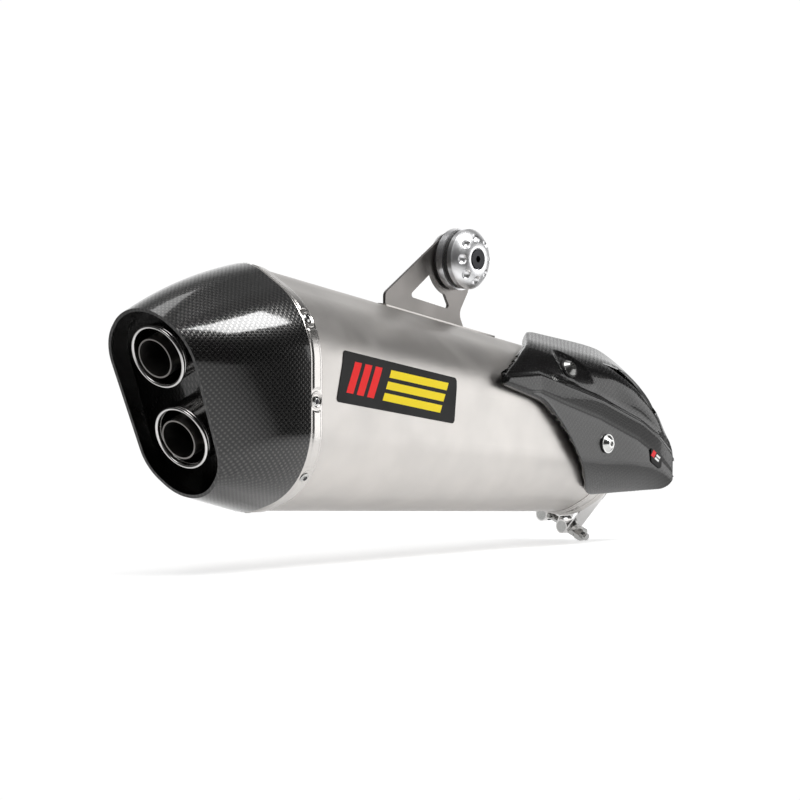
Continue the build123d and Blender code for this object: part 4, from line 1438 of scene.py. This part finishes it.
# ---------------------------------------------------------------------------
# Heat shield
# ---------------------------------------------------------------------------
@dataclass
class HeatShieldSkin:
    """The woven shield: a swept ridge over a channel, a recessed screw pocket and a slot.

    Places on it are side-view points (X, Z) in metres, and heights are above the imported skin.
    """

    columns: int = 250
    rows: int = 180
    wall: float = 2.0 * MM
    roll: float = 3.2 * MM
    pocket_half: tuple[float, float] = (24.0 * MM, 9.5 * MM)
    pocket_slope: float = -31.0
    bead_lift: float = 1.6 * MM
    slot: tuple[tuple[float, float], ...] = (
        (-42, 92), (-6, 84), (14, 68), (29, 50), (16, 47.5), (4, 61), (-10, 72))
    slot_corner: float = 3.0 * MM
    slot_depth: tuple[float, float] = (-10.0 * MM, -95.0 * MM)
    inset: float = 1.0 * MM
    angles: tuple[float, float] = (-75.0, 100.0)
    samples: int = 260
    edge_calm: float = 5.0 * MM
    ridge_line: tuple[tuple[float, float], ...] = (
        (-197.0, 82.0), (-141.0, 83.0), (-111.0, 74.0), (-59.0, 60.0), (-5.0, 41.0),
        (23.0, 27.0), (54.0, 8.0))
    section: tuple[tuple[float, float], ...] = (
        (-60, 0), (-34, 0), (-19, -0.5), (-13.5, -0.9), (-12.2, -0.5), (-11.2, 0.9), (0, 3.3),
        (1.4, 3.1), (4.5, 0.2), (9, -0.5), (16, 0.4), (26, 2.1), (34, 2.3), (90, 2.3))
    section_round: float = 0.8 * MM
    strength: tuple[tuple[float, float], ...] = (
        (-195, 0.12), (-150, 0.75), (-125, 1.0), (20, 1.0), (52, 0.2))
    pocket_shift: tuple[float, float] = (9.0 * MM, -3.0 * MM)
    upper_seat: tuple[float, float] = (7.8 * MM, 9.6 * MM)
    lower_seat: tuple[float, float] = (8.0 * MM, 10.5 * MM)
    bead_start: tuple[float, float] = (-40.0 * MM, -5.0 * MM)
    bead_end: tuple[float, float] = (22.0 * MM, 44.0 * MM)
    bead_place: float = 17.0 * MM
    bead_width: float = 8.0 * MM

    def __post_init__(self) -> None:
        """Read the shield's place and its screws from the frame."""
        self.low, self.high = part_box("heat_shield")
        self.upper = middle_of("shield_screw_upper")
        self.lower = middle_of("shield_screw_lower")

    def axis_height(self, x: float) -> float:
        """The height of the axis that the skin is sampled round."""
        share = (x - self.low.x) / (self.high.x - self.low.x)
        return (66.0 - 42.0 * share ** 1.2) * MM

    def ridge(self, x: np.ndarray) -> np.ndarray:
        """The ridge line's height at each station."""
        stations, heights = np.array(self.ridge_line).T * MM
        return np.interp(x, stations, heights)

    def profile(self) -> tuple[np.ndarray, np.ndarray]:
        """The relief across the ridge.

        Returns:
            Distances above the ridge along the skin, and the height at each.
        """
        places, lifts = np.array(self.section).T * MM
        fine = np.linspace(places[0], places[-1], 1501)
        height = np.interp(fine, places, lifts)
        step = fine[1] - fine[0]
        reach = np.arange(-30, 31) * step
        kernel = np.exp(-(reach / self.section_round) ** 2)
        smooth = np.convolve(np.pad(height, 30, mode="edge"), kernel / kernel.sum(), mode="valid")
        return fine, smooth

    def relief(self, grid: np.ndarray, above: np.ndarray) -> np.ndarray:
        """Height of the shaped skin over the plain one.

        Args:
            grid: the plain skin, by column and row.
            above: distance of each point above the ridge, along the skin.

        Returns:
            The height at each point.
        """
        x, z = grid[..., 0], grid[..., 2]
        fine, height = self.profile()
        stations, shares = np.array(self.strength).T
        lift = np.interp(above, fine, height) * np.interp(x, stations * MM, shares)
        turn = math.radians(self.pocket_slope)
        dx = x - self.upper.x - self.pocket_shift[0]
        dz = z - self.upper.z - self.pocket_shift[1]
        along = dx * math.cos(turn) + dz * math.sin(turn)
        across = dz * math.cos(turn) - dx * math.sin(turn)
        oval = np.hypot(along / self.pocket_half[0], across / self.pocket_half[1])
        lift *= smooth_step(oval, 0.82, 1.12)
        for screw, seat in ((self.upper, self.upper_seat), (self.lower, self.lower_seat)):
            lift *= smooth_step(np.hypot(x - screw.x, z - screw.z), *seat)
        blend = smooth_step(x, *self.bead_start) * (1 - smooth_step(x, *self.bead_end))
        crown = np.exp(-((above - self.bead_place) / self.bead_width) ** 2)
        return lift + self.bead_lift * blend * crown

    def build(self, finish: bpy.types.Material) -> None:
        """Make the shield.

        Args:
            finish: the woven laminate, on the piece's own UV map.
        """
        ease = (1 - np.cos(np.linspace(0.0, math.pi, self.columns))) / 2
        stations = self.low.x + self.inset + (self.high.x - self.low.x - 2 * self.inset) * ease
        angles = np.radians(np.linspace(*self.angles, self.samples))
        field = RoundField("heat_shield", stations, angles, self.axis_height, closed=False)
        share = np.linspace(0.0, 1.0, self.rows)
        plain = np.stack([field.points(i, field.low[i] + (field.high[i] - field.low[i]) * share)
                          for i in range(self.columns)])
        steps = np.linalg.norm(np.diff(plain, axis=1), axis=-1)
        arc = np.concatenate([np.zeros((self.columns, 1)), np.cumsum(steps, axis=1)], axis=1)
        at_ridge = np.array([np.interp(height, plain[i, :, 2], arc[i])
                             for i, height in enumerate(self.ridge(stations))])
        above = arc - at_ridge[:, None]
        normals = self.normals(field, plain, angles)
        from_edge = np.minimum(arc, arc[:, -1:] - arc)
        ends = np.minimum(stations - stations[0], stations[-1] - stations)[:, None]
        from_edge = np.minimum(from_edge, ends)
        inside = np.clip(from_edge / self.roll, 0.0, 1.0)
        drop = self.roll * (1 - np.sqrt(1 - (1 - inside) ** 2)) * 0.7
        lift = self.relief(plain, above) * smooth_step(from_edge, 0.0, self.edge_calm) - drop
        shaped = plain + normals * lift[..., None]
        uv = np.stack([np.broadcast_to(stations[:, None], arc.shape), above], axis=-1)
        uv = np.concatenate([uv, uv[:, ::-1]], axis=1)
        inner = shaped - normals * self.wall
        ring = np.concatenate([shaped, inner[:, ::-1]], axis=1)
        ring[..., 0] = np.clip(ring[..., 0], self.low.x, self.high.x)
        piece = grid_object("heat_shield_skin", ring, wrap_rows=True, wrap_columns=False, uv=uv)
        self.close_ends(piece.data)
        self.cut(piece)
        finish_piece(piece, finish, "root", ("heat_shield",))

    def normals(self, field: RoundField, grid: np.ndarray, angles: np.ndarray) -> np.ndarray:
        """The plain skin's normals, read on an even lattice that runs past the skin's edges.

        Args:
            field: the sampled skin.
            grid: the points that need a normal, by column and row.
            angles: the lattice's angles, in radians.

        Returns:
            A unit normal at each point.
        """
        lattice = np.stack([field.points(i, angles) for i in range(self.columns)])
        known = grid_normals(lattice, wrap=False)
        found = np.empty_like(grid)
        share = np.linspace(0.0, 1.0, self.rows)
        for i in range(self.columns):
            places = field.low[i] + (field.high[i] - field.low[i]) * share
            for axis in range(3):
                found[i, :, axis] = np.interp(places, angles, known[i, :, axis])
        return found / np.linalg.norm(found, axis=-1, keepdims=True)

    def close_ends(self, mesh: bpy.types.Mesh) -> None:
        """Join the outer and inner skins at the first and last columns.

        Args:
            mesh: the skin, changed in place.
        """
        work = bmesh.new()
        work.from_mesh(mesh)
        work.verts.ensure_lookup_table()
        around = 2 * self.rows
        for start in (0, (self.columns - 1) * around):
            for row in range(self.rows - 1):
                corners = (row, row + 1, around - 2 - row, around - 1 - row)
                work.faces.new([work.verts[start + corner] for corner in corners])
        work.to_mesh(mesh)
        work.free()
        face_out(mesh)

    def cut(self, piece: bpy.types.Object) -> None:
        """Cut the slot through the skin.

        Args:
            piece: the shield's object.
        """
        edge = rounded([(x * MM, z * MM) for x, z in self.slot], self.slot_corner)
        count = len(edge)
        points = [(x, y, z) for y in self.slot_depth for x, z in edge]
        sides = [(i, (i + 1) % count, count + (i + 1) % count, count + i) for i in range(count)]
        mesh = bpy.data.meshes.new("slot_cutter")
        mesh.from_pydata(points, [], [*sides, range(count), range(2 * count - 1, count - 1, -1)])
        face_out(mesh)
        cutter = placed("slot_cutter", mesh)
        hole = piece.modifiers.new("slot", "BOOLEAN")
        hole.operation, hole.solver, hole.object = "DIFFERENCE", "MANIFOLD", cutter
        settle(piece)
        bpy.data.objects.remove(cutter)


# ---------------------------------------------------------------------------
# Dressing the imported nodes
# ---------------------------------------------------------------------------
@dataclass
class Dresser:
    """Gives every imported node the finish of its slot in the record."""

    made: dict[str, bpy.types.Material]

    def dress(self) -> None:
        """Assign the finishes."""
        for part in frame["record"]["subparts"]:
            node = frame["nodes"][part["node"]]
            finish = self.made.get(part["node"]) or self.made[part["material_slot"]]
            node.data.materials.clear()
            node.data.materials.append(finish)
            LOG.info("%s wears %s", node.name, finish.name)


def main() -> None:
    """Build the studio and dress the silencer."""
    logging.basicConfig(level=logging.INFO, format="%(name)s: %(message)s")
    Studio().build()
    made = {slot: finish.build() for slot, finish in FINISHES.items()}
    made["name_plate"] = PLATE_PRINT.build()
    made["shield_badge"] = BADGE_PRINT.build()
    Dresser(made).dress()
    for side in Side:
        PressedBand(side).build(made["titanium_band"])
        RivetRing(side).build(made["zinc_steel"], made["black_steel"])
    RolledRim().build(made["titanium_band"])
    WeldBeads().build(made["bracket_titanium"])
    HeatShieldSkin().build(SHIELD_WEAVE.build())


if __name__ == "__main__":
    main()
